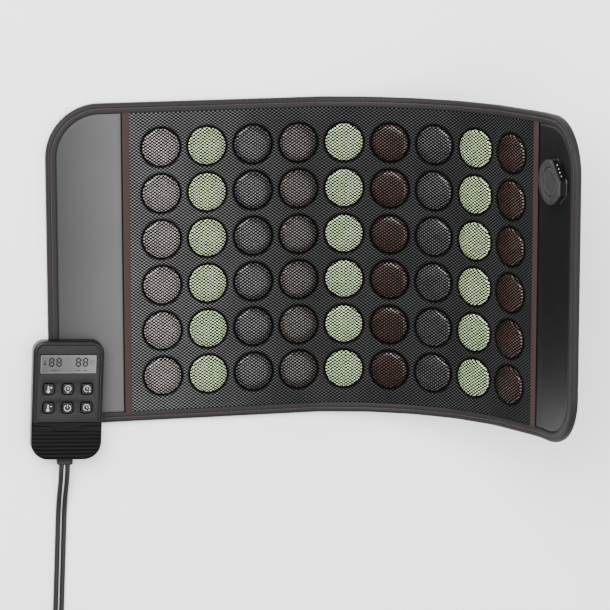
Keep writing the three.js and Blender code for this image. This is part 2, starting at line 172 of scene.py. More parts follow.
def slab(top, bottom, uv):
    """A closed sheet between two grids of points, with walls round its edge. uv is (rows, columns, 2)."""
    rows, columns = top.shape[:2]
    face = quads(rows, columns)
    number = np.arange(rows * columns).reshape(rows, columns)
    rim = np.concatenate([number[:-1, 0], number[-1, :-1], number[:0:-1, -1], number[0, :0:-1]])
    following = np.roll(rim, -1)
    under = rows * columns
    walls = np.stack([rim + under, following + under, following, rim], 1)
    points = np.concatenate([top.reshape(-1, 3), bottom.reshape(-1, 3)])
    faces = [face, face[:, ::-1] + under, walls]
    pairs = np.concatenate([uv.reshape(-1, 2)] * 2) * MM
    return points, faces, [pairs[f] for f in faces]


def smooth_step(t):
    """0 below t = 0, 1 above t = 1, and the cubic t * t * (3 - 2 * t) between."""
    t = np.clip(t, 0.0, 1.0)
    return t * t * (3 - 2 * t)


# ---------------------------------------------------------------- the mat's curve

folds = sorted((j for j in frame["joints"] if j["name"].startswith("fold_")),
               key=lambda joint: int(joint["name"].split("_")[1]))
fold_xz = np.array([[j["pos_m"][0], j["pos_m"][2]] for j in folds]) / MM
fold_rest = np.array([-j["range_deg"][0] for j in folds])
left_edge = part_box("left_pad")[0].x / MM
PANEL = fold_xz[0, 0] - left_edge
FOLD_U = PANEL + np.concatenate([[0], np.cumsum(np.linalg.norm(np.diff(fold_xz, axis=0), axis=1))])
MAT_LENGTH = FOLD_U[-1] + PANEL
COLUMN_U = FOLD_U[1] - PITCH / 2 + PITCH * np.arange(COLUMNS)
ROW_V = PITCH * (np.arange(ROWS) - (ROWS - 1) / 2)
BODIES = ["panel_left"] + [f"column_{k}" for k in range(1, COLUMNS + 1)] + ["panel_right"]

# Each fold's turn is spread over this much of the mat before and after its line
BEND_BEFORE = np.array([12.0] * 9 + [17.0])
BEND_AFTER = np.array([12.0] * 9 + [25.0])
PANEL_CURL = 8.0                      # more turn over the rest of the right end panel, degrees


def slope_at(u):
    """The mat's slope in radians: every fold's angle eased in over its stretch, and the right end
    panel's own curl after the last of them."""
    total = np.zeros_like(u)
    for at, rest, before, after in zip(FOLD_U, fold_rest, BEND_BEFORE, BEND_AFTER):
        total += rest * smooth_step((u - at + before) / (before + after))
    start = FOLD_U[-1] + BEND_AFTER[-1]
    total += PANEL_CURL * np.clip((u - start) / (MAT_LENGTH - start), 0, 1.2)
    return np.radians(total)


spine_u = np.arange(-20.0, MAT_LENGTH + 20.0, 0.25)
spine_slope = slope_at(spine_u)
spine_mid = slope_at(spine_u[:-1] + 0.125)
spine_x = np.concatenate([[0], np.cumsum(0.25 * np.cos(spine_mid))]) + left_edge - 20.0
spine_z = np.concatenate([[0], np.cumsum(0.25 * np.sin(spine_mid))]) + fold_xz[0, 1]


def on_mat(u, v, h):
    """The row-frame place of mat points: the spine's point at u, h along its normal, and v across."""
    u, v, h = np.broadcast_arrays(np.asarray(u, float), v, h)
    slope = np.interp(u, spine_u, spine_slope)
    x = np.interp(u, spine_u, spine_x) - h * np.sin(slope)
    z = np.interp(u, spine_u, spine_z) + h * np.cos(slope)
    return np.stack([x, v, z], -1)


def fixed_on_mat(points, u):
    """A stiff piece's points (along, across, up), laid on the mat's tangent at u without bending."""
    points = np.asarray(points, float)
    slope = np.interp(u, spine_u, spine_slope)
    x = np.interp(u, spine_u, spine_x) + points[..., 0] * math.cos(slope) - points[..., 2] * math.sin(slope)
    z = np.interp(u, spine_u, spine_z) + points[..., 0] * math.sin(slope) + points[..., 2] * math.cos(slope)
    return np.stack([x, points[..., 1], z], -1)


def laid_flat(shape, u):
    """A stiff (points, faces, uvs), laid on the mat's tangent at u."""
    return fixed_on_mat(shape[0], u), *shape[1:]


# A zone of the mat runs from one column's middle to the next, with one fold line in it
ZONE_U = np.concatenate([[0.0], COLUMN_U, [MAT_LENGTH]])
ZONES = range(len(folds))


def across_fold(piece, zone, replaces=()):
    """The piece lies across the fold in its zone: its transform is baked into its mesh, and the CAD parts
    that it replaces are hidden.
    """
    at = FOLD_U[zone]
    start = on_mat(at - BEND_BEFORE[zone], 0.0, 0.0) * MM
    end = on_mat(at + BEND_AFTER[zone], 0.0, 0.0) * MM
    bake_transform(piece)
    if replaces:
        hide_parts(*replaces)
    return piece


def on_body(piece, body, replaces=()):
    """The piece moves with one body."""
    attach(piece, body)
    if replaces:
        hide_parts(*replaces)
    return piece


def rigid(name, shape, finish, body, replaces=()):
    """A piece that moves with one body, from its (points, faces, uvs)."""
    points, faces, uvs = shape
    return on_body(make_piece(name, points, faces, finish, uvs), body, replaces)


def half_width(u, inset):
    """Half the mat's width at u, drawn in by an inset: straight, with a round corner at each end."""
    near = np.minimum(u, MAT_LENGTH - u)
    reach = np.clip(CORNER_R - near, 0, CORNER_R - inset)
    return MAT_HALF - CORNER_R + np.sqrt((CORNER_R - inset) ** 2 - reach ** 2)


# ---------------------------------------------------------------- finishes

class Finish:
    """A material with a Principled shader, and short ways to add the nodes that drive it."""

    def __init__(self, name, colour=(0.5, 0.5, 0.5), roughness=0.5, **constants):
        self.material = bpy.data.materials.new(name)
        self.material.use_nodes = True
        self.tree = self.material.node_tree
        self.shader = self.tree.nodes["Principled BSDF"]
        self.shader.inputs["Base Color"].default_value = (*colour, 1)
        self.shader.inputs["Roughness"].default_value = roughness
        for socket, value in constants.items():
            self.shader.inputs[socket.replace("_", " ")].default_value = value

    def node(self, kind, inputs=(), **settings):
        """A shader node with its settings made and its inputs fed."""
        made = self.tree.nodes.new("ShaderNode" + kind)
        for key, value in settings.items():
            setattr(made, key, value)
        for socket, value in dict(inputs).items():
            self.feed(made.inputs[socket], value)
        return made

    def feed(self, socket, value):
        """Links another node's output to a socket, or sets the socket's own value."""
        if isinstance(value, bpy.types.NodeSocket):
            self.tree.links.new(value, socket)
        else:
            socket.default_value = value

    def where(self, space="Object", scale=(1, 1, 1), turn=(0, 0, 0)):
        """Coordinates, scaled: the piece's own Object coordinates or its UV map, both in metres."""
        source = self.node("TexCoord").outputs[space]
        return self.node("Mapping", {"Vector": source, "Scale": scale, "Rotation": turn}).outputs["Vector"]

    def noise(self, where, size, detail=3.0, roughness=0.5):
        """Cloudy pattern with features of about size millimetres."""
        inputs = {"Vector": where, "Scale": 1 / (size * MM), "Detail": detail, "Roughness": roughness}
        return self.node("TexNoise", inputs).outputs["Fac"]

    def cells(self, where, size, feature="F1", socket="Distance"):
        """Cells of about size millimetres."""
        inputs = {"Vector": where, "Scale": 1 / (size * MM)}
        return self.node("TexVoronoi", inputs, feature=feature).outputs[socket]

    def ridges(self, where, pitch, axis="X"):
        """Parallel ridges, one every pitch millimetres along an axis."""
        inputs = {"Vector": where, "Scale": math.pi / (10 * pitch * MM)}
        return self.node("TexWave", inputs, bands_direction=axis).outputs["Fac"]

    def maths(self, a, b, how="ADD"):
        """Two values joined by an operation."""
        made = self.node("Math", operation=how)
        self.feed(made.inputs[0], a)
        self.feed(made.inputs[1], b)
        return made.outputs[0]

    def ramp(self, factor, *stops):
        """A colour or grey for each level of a factor: (level, colour) pairs."""
        made = self.node("ValToRGB", {"Fac": factor})
        elements = made.color_ramp.elements
        while len(elements) < len(stops):
            elements.new(1.0)
        for element, (level, colour) in zip(elements, stops):
            element.position = level
            element.color = (*colour, 1) if isinstance(colour, tuple) else (colour, colour, colour, 1)
        return made.outputs["Color"]

    def blend_colours(self, factor, first, second, how="MIX"):
        made = self.node("Mix", data_type="RGBA", blend_type=how)
        self.feed(made.inputs[0], factor)
        self.feed(made.inputs[6], first)
        self.feed(made.inputs[7], second)
        return made.outputs[2]

    def colour(self, value):
        self.feed(self.shader.inputs["Base Color"], value)
        return self

    def rough(self, value):
        self.feed(self.shader.inputs["Roughness"], value)
        return self

    def relief(self, height, distance, strength=1.0):
        """Bump whose full height is distance millimetres."""
        made = self.node("Bump", {"Height": height, "Distance": distance * MM, "Strength": strength})
        self.feed(self.shader.inputs["Normal"], made.outputs["Normal"])
        return self


def moulded(name, colour, roughness, specular, grain, gloss, depth=0.0, strength=0.4, haze=None):
    """Moulded plastic or rubber: a fine grain (size, detail) moves the roughness between the two ends
    of gloss and raises the surface, and a slow haze (size, detail, dark, light) moves the colour."""
    finish = Finish(name, colour, roughness, Specular_IOR_Level=specular)
    speckle = finish.noise(finish.where(), *grain)
    finish.rough(finish.ramp(speckle, (0.3, gloss[0]), (0.8, gloss[1])))
    if depth:
        finish.relief(speckle, depth, strength)
    if haze:
        size, detail, dark, light = haze
        finish.colour(finish.ramp(finish.noise(finish.where(), size, detail), (0.3, dark), (0.7, light)))
    return finish


# ---------------------------------------------------------------- camera, floor and light

CAMERA_AT = Vector((-505.5, 682.4, 3493.6)) * MM
CAMERA_FORWARD = Vector((0.2048, -0.2022, -0.9577))
CAMERA_UP = Vector((0.0434, 0.9794, -0.1975))
LENS = 197.70


def make_camera():
    """The camera turned to its forward and up directions."""
    data = bpy.data.cameras.new("camera")
    data.sensor_width = 36.0
    data.lens = LENS
    data.clip_start = 0.1
    data.clip_end = 30.0
    camera = bpy.data.objects.new("camera", data)
    bpy.context.scene.collection.objects.link(camera)
    right = CAMERA_FORWARD.cross(CAMERA_UP).normalized()
    up = right.cross(CAMERA_FORWARD).normalized()
    turn = Matrix((right, up, -CAMERA_FORWARD.normalized())).transposed().to_4x4()
    camera.matrix_world = Matrix.Translation(CAMERA_AT) @ turn
    bpy.context.scene.camera = camera


def make_floor():
    """Pale paper just under the mat, slightly cloudy."""
    floor = Finish("floor_paper", roughness=0.9)
    tint = floor.noise(floor.where(), 400.0)
    floor.colour(floor.ramp(tint, (0.0, 0.86), (1.0, 0.88)))
    half = 6000.0
    corners = [[-half, -half, -0.2], [half, -half, -0.2], [half, half, -0.2], [-half, half, -0.2]]
    piece = make_piece("floor", np.array(corners), [np.array([[0, 1, 2, 3]])], floor)


def make_light(name, at, aim, size, power):
    """A rectangular lamp aimed at a point."""
    data = bpy.data.lights.new(name, "AREA")
    data.shape = "RECTANGLE"
    data.size, data.size_y = size
    data.energy = power
    light = bpy.data.objects.new(name, data)
    bpy.context.scene.collection.objects.link(light)
    light.location = at
    light.rotation_euler = (Vector(aim) - Vector(at)).to_track_quat("-Z", "Y").to_euler()


def make_studio():
    """Four softboxes in white surroundings."""
    make_light("overhead_softbox", (0.45, -0.45, 2.6), (0.2, 0.0, 0.0), (1.5, 1.5), 45)
    make_light("key_softbox", (-0.9, 1.4, 2.5), (0.2, 0.0, 0.0), (2.0, 2.0), 200)
    make_light("left_softbox", (-2.2, 0.3, 1.6), (0.2, 0.0, 0.1), (1.4, 2.2), 22)
    make_light("right_strip", (2.4, 0.4, 1.1), (0.3, 0.0, 0.05), (0.6, 2.0), 40)
    world = bpy.data.worlds.new("studio")
    world.use_nodes = True
    background = world.node_tree.nodes["Background"]
    background.inputs["Color"].default_value = (1.0, 1.0, 1.0, 1)
    background.inputs["Strength"].default_value = 1.0
    bpy.context.scene.world = world


# ---------------------------------------------------------------- cords

CORD_R = 2.75
CORD_SIDES = 16
FLOOR_CORD = CORD_R + 0.2
COIL_Y = -432.0
LAYER = 2 * CORD_R


def through(points, step):
    """A Catmull-Rom curve through the points, with a point about every step millimetres."""
    points = np.asarray(points, float)
    ends = np.concatenate([[2 * points[0] - points[1]], points, [2 * points[-1] - points[-2]]])
    parts = []
    for a, b, c, d in zip(ends[:-3], ends[1:-2], ends[2:-1], ends[3:]):
        count = max(2, int(np.linalg.norm(c - b) / step) + 1)
        t = np.linspace(0, 1, count, endpoint=False)[:, None]
        parts.append(0.5 * (2 * b + (c - a) * t + (2 * a - 5 * b + 4 * c - d) * t ** 2
                            + (3 * b - a - 3 * c + d) * t ** 3))
    parts.append(points[-1:])
    return np.concatenate(parts)


def evened(path, step):
    """The same path with its points the same distance apart."""
    run = np.concatenate([[0], np.cumsum(np.linalg.norm(np.diff(path, axis=0), axis=1))])
    at = np.linspace(0, run[-1], int(run[-1] / step) + 1)
    return np.stack([np.interp(at, run, path[:, k]) for k in range(3)], 1)


def softened(path, passes):
    """The path with each inner point drawn to the middle of its neighbours, a few times over."""
    path = path.copy()
    for _ in range(passes):
        path[1:-1] = 0.25 * path[:-2] + 0.5 * path[1:-1] + 0.25 * path[2:]
    return path


def tube(path, radius, sides=CORD_SIDES, radii=None):
    """A round section carried along a path: its two cross axes are kept level with the floor's
    normal by projecting it off the path's direction."""
    ahead = np.gradient(path, axis=0)
    ahead /= np.linalg.norm(ahead, axis=1)[:, None]
    up = np.array([0.0, 0.0, 1.0]) - ahead * ahead[:, 2:]
    up /= np.linalg.norm(up, axis=1)[:, None]
    side = np.cross(ahead, up)
    angle = np.linspace(0, 2 * math.pi, sides, endpoint=False)
    size = np.full(len(path), radius) if radii is None else np.asarray(radii)
    ring = side[:, None] * np.cos(angle)[None, :, None] + up[:, None] * np.sin(angle)[None, :, None]
    loops = path[:, None] + ring * size[:, None, None]
    run = np.concatenate([[0], np.cumsum(np.linalg.norm(np.diff(path, axis=0), axis=1))])
    return swept(loops, run, np.linspace(0, 2 * math.pi * radius, sides + 1))


RELIEF_REACH = 65.0 + 7.0 + 0.3       # from the controller's middle to where the cords come out
CORD_OFFSET = 3.4


def cord_route(side, coil_start):
    """From the strain relief down to the floor and away to the coil, in the upright plane of the
    cord's own exit: the same points as the part's."""
    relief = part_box("strain_relief")
    exit_x = CASE_X + side * CORD_OFFSET * math.cos(CASE_TURN) + RELIEF_REACH * math.sin(CASE_TURN)
    exit_y = CASE_Y + side * CORD_OFFSET * math.sin(CASE_TURN) - RELIEF_REACH * math.cos(CASE_TURN)
    exit_z = (relief[0].z + relief[1].z) / 2 / MM
    steps = [(0, exit_z), (9, exit_z - 0.3), (20, exit_z - 3), (36, exit_z - 9.6), (50, FLOOR_CORD + 1.2)]
    steps += [(away, FLOOR_CORD) for away in (64, 84, 114, 144, 170, exit_y - coil_start)]
    return [(exit_x + away * math.tan(CASE_TURN), exit_y - away, z) for away, z in steps]


CHANGE = (0.80, 0.97)                 # share of a turn over which the cord changes lanes


def coil_path(centre_x, side, slots, turns, over, tail, tail_z):
    """A coil's centreline, from its first tangent point. The radius and height hold a slot's values
    for most of a turn and ease to the next slot's over the rest of it. over is (turn, end, radius,
    height): where the cord crosses its own last turn before it drops back beside it. side is 1 for a
    coil entered on its east, wound clockwise, and -1 for its mirror image."""
    t = np.linspace(0, turns, int(turns * 72) + 1)
    radius = np.full_like(t, slots[0][0])
    height = np.full_like(t, slots[0][1])
    for k in range(1, len(slots)):
        share = smooth_step((t - (k - 1) - CHANGE[0]) / (CHANGE[1] - CHANGE[0]))
        (r0, z0), (r1, z1) = slots[k - 1], slots[k]
        arc = share * math.pi / 2
        bulge = abs(r1 - r0) > 0.1 and abs(z1 - z0) > 0.1
        if bulge and z1 > z0:
            radius += (r1 - r0) * (1 - np.cos(arc))
            height += (z1 - z0) * np.sin(arc)
        elif bulge:
            radius += (r1 - r0) * np.sin(arc)
            height += (z1 - z0) * (1 - np.cos(arc))
        else:
            radius += (r1 - r0) * share
            height += (z1 - z0) * share
    lap, drop, over_r, over_z = over
    raised = smooth_step((t - lap - CHANGE[0]) / (CHANGE[1] - CHANGE[0]))
    raised *= 1 - smooth_step((t - lap - 1.3) / drop)
    radius += over_r * raised
    height += over_z * raised
    angle = -2 * math.pi * t
    x = centre_x + side * radius * np.cos(angle)
    y = COIL_Y + radius * np.sin(angle)
    coil = np.stack([x, y, height], 1)
    share = np.linspace(0, 1, 12)[1:, None]
    end = coil[-1] + np.array([-side * tail, 0, 0])
    straight = coil[-1] * (1 - share) + end * share
    straight[:, 2] = coil[-1, 2] + (tail_z - coil[-1, 2]) * smooth_step(share[:, 0])
    return np.concatenate([coil, straight])


cord_skin = Finish("cord_pvc", (0.004, 0.004, 0.0042), 0.45, Specular_IOR_Level=0.24)
grain = cord_skin.noise(cord_skin.where("UV"), 0.7)
cord_skin.colour(cord_skin.ramp(grain, (0.3, (0.0055, 0.0055, 0.006)), (0.8, (0.011, 0.011, 0.0115))))
cord_skin.rough(cord_skin.ramp(cord_skin.noise(cord_skin.where("UV"), 6.0), (0.3, 0.36), (0.8, 0.5)))
cord_skin.relief(grain, 0.04, 0.5)


def make_lead(name, side, coil_start, coil, pieces, replaces):
    """One of the controller's two leads: a tube along its route from the strain relief and round its coil."""
    route = through(cord_route(side, coil_start) + [tuple(coil[0])], 3.0)
    path = softened(evened(np.concatenate([route[:-1], coil]), 2.6), 2)
    points, faces, uvs = tube(path, CORD_R)
    lead = make_piece(name, points, faces, cord_skin, uvs, sharp=50)
    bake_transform(lead)
    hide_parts(*replaces)
    return lead


def box_mm(node):
    """A node's lowest and highest corners in millimetres."""
    low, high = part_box(node)
    return np.array(low) / MM, np.array(high) / MM


def ring_entry(outer):
    """How far before a coil's side its tangent meets the ring of its outside."""
    return math.sqrt(outer ** 2 - (outer - 2 * CORD_R) ** 2) + 0.3


make_camera()
make_floor()
make_studio()

# ---------------------------------------------------------------- the two leads

black_plastic = moulded("plug_plastic", (0.005, 0.005, 0.0053), 0.45, 0.3, (0.5, 3.0), (0.38, 0.52), 0.03)
steel = Finish("contact_steel", (0.72, 0.72, 0.74), 0.25, Metallic=1.0)
scratches = steel.noise(steel.where(scale=(1, 6, 1)), 0.4, 4.0)
steel.rough(steel.ramp(scratches, (0.3, 0.18), (0.8, 0.36)))


def rounded_box(low, high, edge):
    """A box with rounded edges: rounded-rectangle loops stacked up Z, drawn in by a quarter circle
    at the bottom and the top."""
    low, high = np.asarray(low, float), np.asarray(high, float)
    width, length, _ = high - low
    middle = (low + high) / 2
    turn = np.radians(np.linspace(0, 90, 5))
    insets = np.concatenate([edge * (1 - np.sin(turn)), edge * (1 - np.cos(turn))])
    heights = np.concatenate([low[2] + edge * (1 - np.cos(turn)), high[2] - edge * (1 - np.sin(turn))])
    loops = []
    for inset, z in zip(insets, heights):
        flat = rounded_rectangle(width - 2 * inset, length - 2 * inset, max(edge * 1.6 - inset, 0.05))
        loops.append(np.column_stack([flat + middle[:2], np.full(len(flat), z)]))
    loops = np.array(loops)
    return swept(loops, heights, girth(loops[4]))


def rounded_rectangle(width, length, top_r, bottom_r=None, steps=6):
    """Points of a rounded rectangle, counterclockwise: a quarter circle at each corner."""
    bottom_r = top_r if bottom_r is None else bottom_r
    quarter = np.radians(np.linspace(0, 90, steps + 1))
    points = []
    for k, (sx, sy, r) in enumerate(((1, 1, top_r), (-1, 1, top_r), (-1, -1, bottom_r), (1, -1, bottom_r))):
        a = quarter + math.radians(90 * k)
        centre = np.array([sx * (width / 2 - r), sy * (length / 2 - r)])
        points.append(centre + r * np.column_stack([np.cos(a), np.sin(a)]))
    return np.concatenate(points)


def turned_along_x(profile, x0, y, z, side, sides=28, squeeze=(1.0, 1.0)):
    """A round shape along X: profile is (distance from x0, radius) pairs."""
    angle = np.linspace(0, 2 * math.pi, sides, endpoint=False)
    profile = np.asarray(profile, float)
    x = np.full((len(profile), sides), 0.0) + x0 + side * profile[:, :1]
    across = y + squeeze[0] * profile[:, 1:] * np.cos(angle)
    up = z + squeeze[1] * profile[:, 1:] * np.sin(angle)
    return swept(np.stack([x, across, up], 2), profile[:, 0], np.linspace(0, 60, sides + 1))


def make_mains_plug():
    """Moulded body, ribbed tapered neck and two blades, inside the part's plug."""
    low, high = box_mm("mains_plug")
    y, z = (low[1] + high[1]) / 2, (low[2] + high[2]) / 2
    neck_x = high[0]
    neck = [(0.0, 2.9)]
    for k in range(6):
        at, low_r, high_r = 1.0 + 2.0 * k, 3.0 + 0.28 * k, 3.35 + 0.28 * k
        neck += [(at, low_r), (at + 0.4, high_r), (at + 1.2, high_r), (at + 1.5, low_r)]
    neck.append((14.0, 4.8))
    body_low = (neck_x - 46.0, y - 12.0, 0.3)
    body_high = (neck_x - 13.2, y + 12.0, 2 * z - 0.1)
    parts = [rounded_box(body_low, body_high, 4.0), turned_along_x(neck, neck_x, y, z, -1)]
    for k in range(4):
        rib_x = neck_x - 24 - 3.2 * k
        parts.append(rounded_box((rib_x, y - 12.35, 3.5), (rib_x + 1.4, y + 12.35, 2 * z - 3.5), 0.6))
    blades = []
    for side in (-1, 1):
        blade_y = y + side * 6.35
        blade_low = (neck_x - 62.9, blade_y - 0.75, z - 3.1)
        blade_high = (neck_x - 45.0, blade_y + 0.75, z + 3.1)
        blades.append(rounded_box(blade_low, blade_high, 0.35))
    plug = rigid("mains_plug_body", joined(parts), black_plastic, "panel_left",
                 ["mains_plug"])
    blade = rigid("mains_plug_blades", joined(blades), steel, "panel_left")
    return [plug, blade]


grey_plastic = Finish("connector_plastic", (0.025, 0.025, 0.0256), 0.42, Specular_IOR_Level=0.3)
speckle = grey_plastic.noise(grey_plastic.where(), 0.45)
grey_plastic.colour(grey_plastic.ramp(speckle, (0.3, (0.075, 0.075, 0.077)), (0.75, (0.10, 0.10, 0.102))))
grey_plastic.rough(grey_plastic.ramp(grey_plastic.noise(grey_plastic.where(), 5.0), (0.3, 0.36), (0.8, 0.5)))
grey_plastic.relief(speckle, 0.03, 0.4)


def make_magnetic_head():
    """The mat lead's head: a rounded body with four spring contacts in its face."""
    low, high = box_mm("magnetic_head")
    y, z = (low[1] + high[1]) / 2, 6.0
    neck_x = low[0]
    neck = [(0.0, 2.9), (1.0, 3.1), (5.0, 3.6), (9.0, 4.4), (12.0, 5.2)]
    body = rounded_box((neck_x + 11.5, y - 12.0, 0.3), (neck_x + 29.0, y + 12.0, 11.9), 3.0)
    shape = joined([body, turned_along_x(neck, neck_x, y, z, 1)])
    head = rigid("magnetic_head_body", shape, grey_plastic, "panel_left", ["magnetic_head"])
    pin = [(28.6, 0.9), (29.3, 0.88), (29.55, 0.6), (29.6, 0.2)]
    pins = [turned_along_x(pin, neck_x, y + (k - 1.5) * 4.6, z, 1, sides=12) for k in range(4)]
    contacts = rigid("magnetic_head_contacts", joined(pins), steel, "panel_left")
    return [head, contacts]


# The controller's middle and turn, from the two keys on its middle line
KEY_Y = (13.0, -7.5)
upper, lower = [sum(box_mm(key)) / 2 for key in ("key_lamp", "key_power")]
middle_line = upper - lower
CASE_TURN = math.atan2(-middle_line[0], middle_line[1])
CASE_X, CASE_Y = (lower - middle_line * KEY_Y[1] / (KEY_Y[0] - KEY_Y[1]))[:2]
CASE_Z = box_mm("rear_case")[0][2]


def make_leads():
    """The mains lead winds into three lanes and three layers, the mat lead into two of each."""
    low, high = box_mm("mains_coil")
    outer, centre_x = (high[0] - low[0]) / 2, (low[0] + high[0]) / 2
    lanes = [outer - CORD_R - LAYER * k for k in range(3)]
    z = [FLOOR_CORD + LAYER * k for k in range(3)]
    slots = [(lanes[0], z[0]), (lanes[1], z[0]), (lanes[2], z[0]), (lanes[2], z[1]), (lanes[1], z[1]),
             (lanes[2], z[2]), (lanes[1], z[2]), (lanes[0], z[1]), (lanes[0], z[1])]
    coil = coil_path(centre_x, 1, slots, 8.25, (6, 0.4, 0.0, LAYER), 20.0, 8.25)
    start = COIL_Y + ring_entry(outer)
    make_lead("mains_cord", -1, start, coil,
              make_mains_plug(), ["mains_lead", "mains_coil"])

    low, high = box_mm("mat_coil")
    outer, centre_x = (high[0] - low[0]) / 2, (low[0] + high[0]) / 2
    lanes = [outer - CORD_R - LAYER * k for k in range(2)]
    slots = [(lanes[0], z[0]), (lanes[1], z[0]), (lanes[1], z[1]), (lanes[0], z[1]), (lanes[0], z[1])]
    coil = coil_path(centre_x, -1, slots, 4.25, (2, 0.4, -CORD_R, 0.87 * LAYER), 19.0, 6.0)
    start = COIL_Y + ring_entry(outer)
    make_lead("mat_cord", 1, start, coil,
              make_magnetic_head(), ["mat_lead", "mat_coil"])


make_leads()


# ---------------------------------------------------------------- padding and back fabric

back_fabric = Finish("back_fabric", (0.004, 0.004, 0.0042), 0.9, Specular_IOR_Level=0.1,
                     Sheen_Weight=0.01, Sheen_Roughness=0.5)
weave = back_fabric.where("UV")
warp = back_fabric.ridges(weave, 0.9, "X")
weft = back_fabric.ridges(weave, 0.9, "Y")
cloth = back_fabric.maths(warp, weft, "MULTIPLY")
tone = back_fabric.noise(weave, 40.0)
shade = back_fabric.maths(cloth, tone, "MULTIPLY")
back_fabric.colour(back_fabric.ramp(shade, (0.0, (0.0075, 0.0075, 0.0078)), (0.7, (0.024, 0.024, 0.0245))))
back_fabric.relief(cloth, 0.12, 0.6)

# Black wadding shows through the holes of the net
wadding = Finish("wadding", (0.004, 0.004, 0.0042), 0.95, Specular_IOR_Level=0.1)
fluff = wadding.noise(wadding.where(), 1.5, 4.0)
wadding.colour(wadding.ramp(fluff, (0.3, (0.0018, 0.0018, 0.0019)), (0.7, (0.006, 0.006, 0.0062))))
wadding.relief(fluff, 0.1, 0.5)

SEAM_V = PITCH * (np.arange(ROWS + 1) - ROWS / 2)     # quilting seams between the stone rows


def quilted(u, v):
    """Height of the underside: pillows on the floor between seams that draw it up, each seam a
    narrow hollow exp(-distance / 3)."""
    along = np.min(np.abs(u[..., None] - FOLD_U), -1)
    across = np.min(np.abs(v[..., None] - SEAM_V), -1)
    return UNDERSIDE + 0.05 + 0.9 * np.maximum(np.exp(-along / 3.0), np.exp(-across / 3.0))


def make_padding(zone):
    """The padding of a zone: a slab between a flat top and the quilted underside, cut to the mat's
    outline less an inset, with more sections where the outline rounds its corners."""
    u0, u1 = ZONE_U[zone], ZONE_U[zone + 1]
    inset = 2.6
    if zone == 0:
        u0 += inset
    if zone == len(folds) - 1:
        u1 -= inset
    u = np.linspace(u0, u1, int((u1 - u0) / 2.4) + 1)
    if zone in (0, len(folds) - 1):
        round_part = u0 + CORNER_R * (1 - np.cos(np.linspace(0, math.pi / 2, 22)))
        if zone == 0:
            u = np.unique(np.concatenate([round_part, u[u > u0 + CORNER_R]]))
        else:
            u = np.unique(np.concatenate([u[u < u1 - CORNER_R], u0 + u1 - round_part]))
    t = np.linspace(-1, 1, 143)
    across = half_width(u, inset)[:, None] * t
    along = np.broadcast_to(u[:, None], across.shape)
    top = on_mat(along, across, np.full_like(across, PAD_TOP))
    bottom = on_mat(along, across, quilted(along, across))
    points, faces, uvs = slab(top, bottom, np.stack([along, across], 2))
    piece = make_piece(f"padding_{zone + 1}", points, faces, back_fabric, uvs)
    piece.data.materials.append(wadding.material)
    covering = np.zeros(len(piece.data.polygons), int)
    covering[:(across.shape[0] - 1) * (across.shape[1] - 1)] = 1
    piece.data.polygons.foreach_set("material_index", covering)
    nodes = ["left_pad", "column_pad_1"] if zone == 0 else [f"column_pad_{zone + 1}"]
    if zone == len(folds) - 1:
        nodes = ["right_pad"]
    across_fold(piece, zone, nodes)


for zone in ZONES:
    make_padding(zone)


# ---------------------------------------------------------------- stones and their heating strips

def stone_finish(name, dark, light, vein, roughness=0.22):
    """Polished stone: clouds between a dark and a light colour, crossed by thin pale veins."""
    finish = Finish(name, dark, roughness, Specular_IOR_Level=0.4, Coat_Weight=0.3, Coat_Roughness=0.12)
    where = finish.where()
    cloud = finish.noise(where, 16.0, 5.0, 0.6)
    veins = finish.cells(where, 9.0, "DISTANCE_TO_EDGE")
    grain = finish.noise(where, 1.2, 2.0)
    body = finish.ramp(cloud, (0.32, dark), (0.68, light))
    veined = finish.blend_colours(finish.ramp(veins, (0.0, 0.35), (0.12, 0.0)), body, (*vein, 1))
    finish.colour(veined)
    finish.rough(finish.ramp(grain, (0.3, roughness - 0.06), (0.7, roughness + 0.08)))
    return finish


# Each stone's slot and finish. The brown stones are copies of one stone in different lightness: painted sheen
# lightens column 1 most and column 4 less, and column 9's copy is a little lighter than column 6's
BROWN = "brown_stone", stone_finish("brown_stone", (0.029, 0.0125, 0.010), (0.050, 0.0235, 0.0185),
                                    (0.08, 0.044, 0.035))
END_BROWN = "brown_stone", stone_finish("end_brown_stone", (0.043, 0.023, 0.0195), (0.073, 0.042, 0.036),
                                        (0.11, 0.07, 0.06))
# Painted sheen: a lighter copy of the brown stone, for column 4
BROWN_SOME_PAINTED_SHEEN = "brown_stone", stone_finish("brown_stone_some_painted_sheen", (0.044, 0.0345, 0.0315), (0.08, 0.063, 0.058),
                                    (0.12, 0.096, 0.088))
# Painted sheen: the lightest copy of the brown stone, for column 1
BROWN_PAINTED_SHEEN = "brown_stone", stone_finish("brown_stone_painted_sheen", (0.18, 0.152, 0.142), (0.29, 0.252, 0.238),
                                   (0.4, 0.355, 0.34))
GREEN = "green_stone", stone_finish("green_stone", (0.43, 0.62, 0.28), (0.60, 0.74, 0.43),
                                    (0.74, 0.82, 0.63), 0.25)
GREY = "grey_stone", stone_finish("grey_stone", (0.036, 0.036, 0.037), (0.069, 0.069, 0.0705),
                                  (0.10, 0.10, 0.1025))
STONE_ORDER = [BROWN_PAINTED_SHEEN, GREEN, GREY, BROWN_SOME_PAINTED_SHEEN, GREEN, BROWN, GREY, GREEN, END_BROWN]

# Radius and height round a stone: a low dome with a rounded rim on a flat back
STONE_PROFILE = [(1.5, 4.0), (6.0, 3.93), (10.0, 3.78), (13.5, 3.55), (16.0, 3.28), (17.6, 2.95),
                 (18.8, 2.45), (19.6, 1.75), (20.0, 0.9), (20.0, 0.0), (19.5, -0.4), (12.0, -0.4),
                 (1.5, -0.4)]

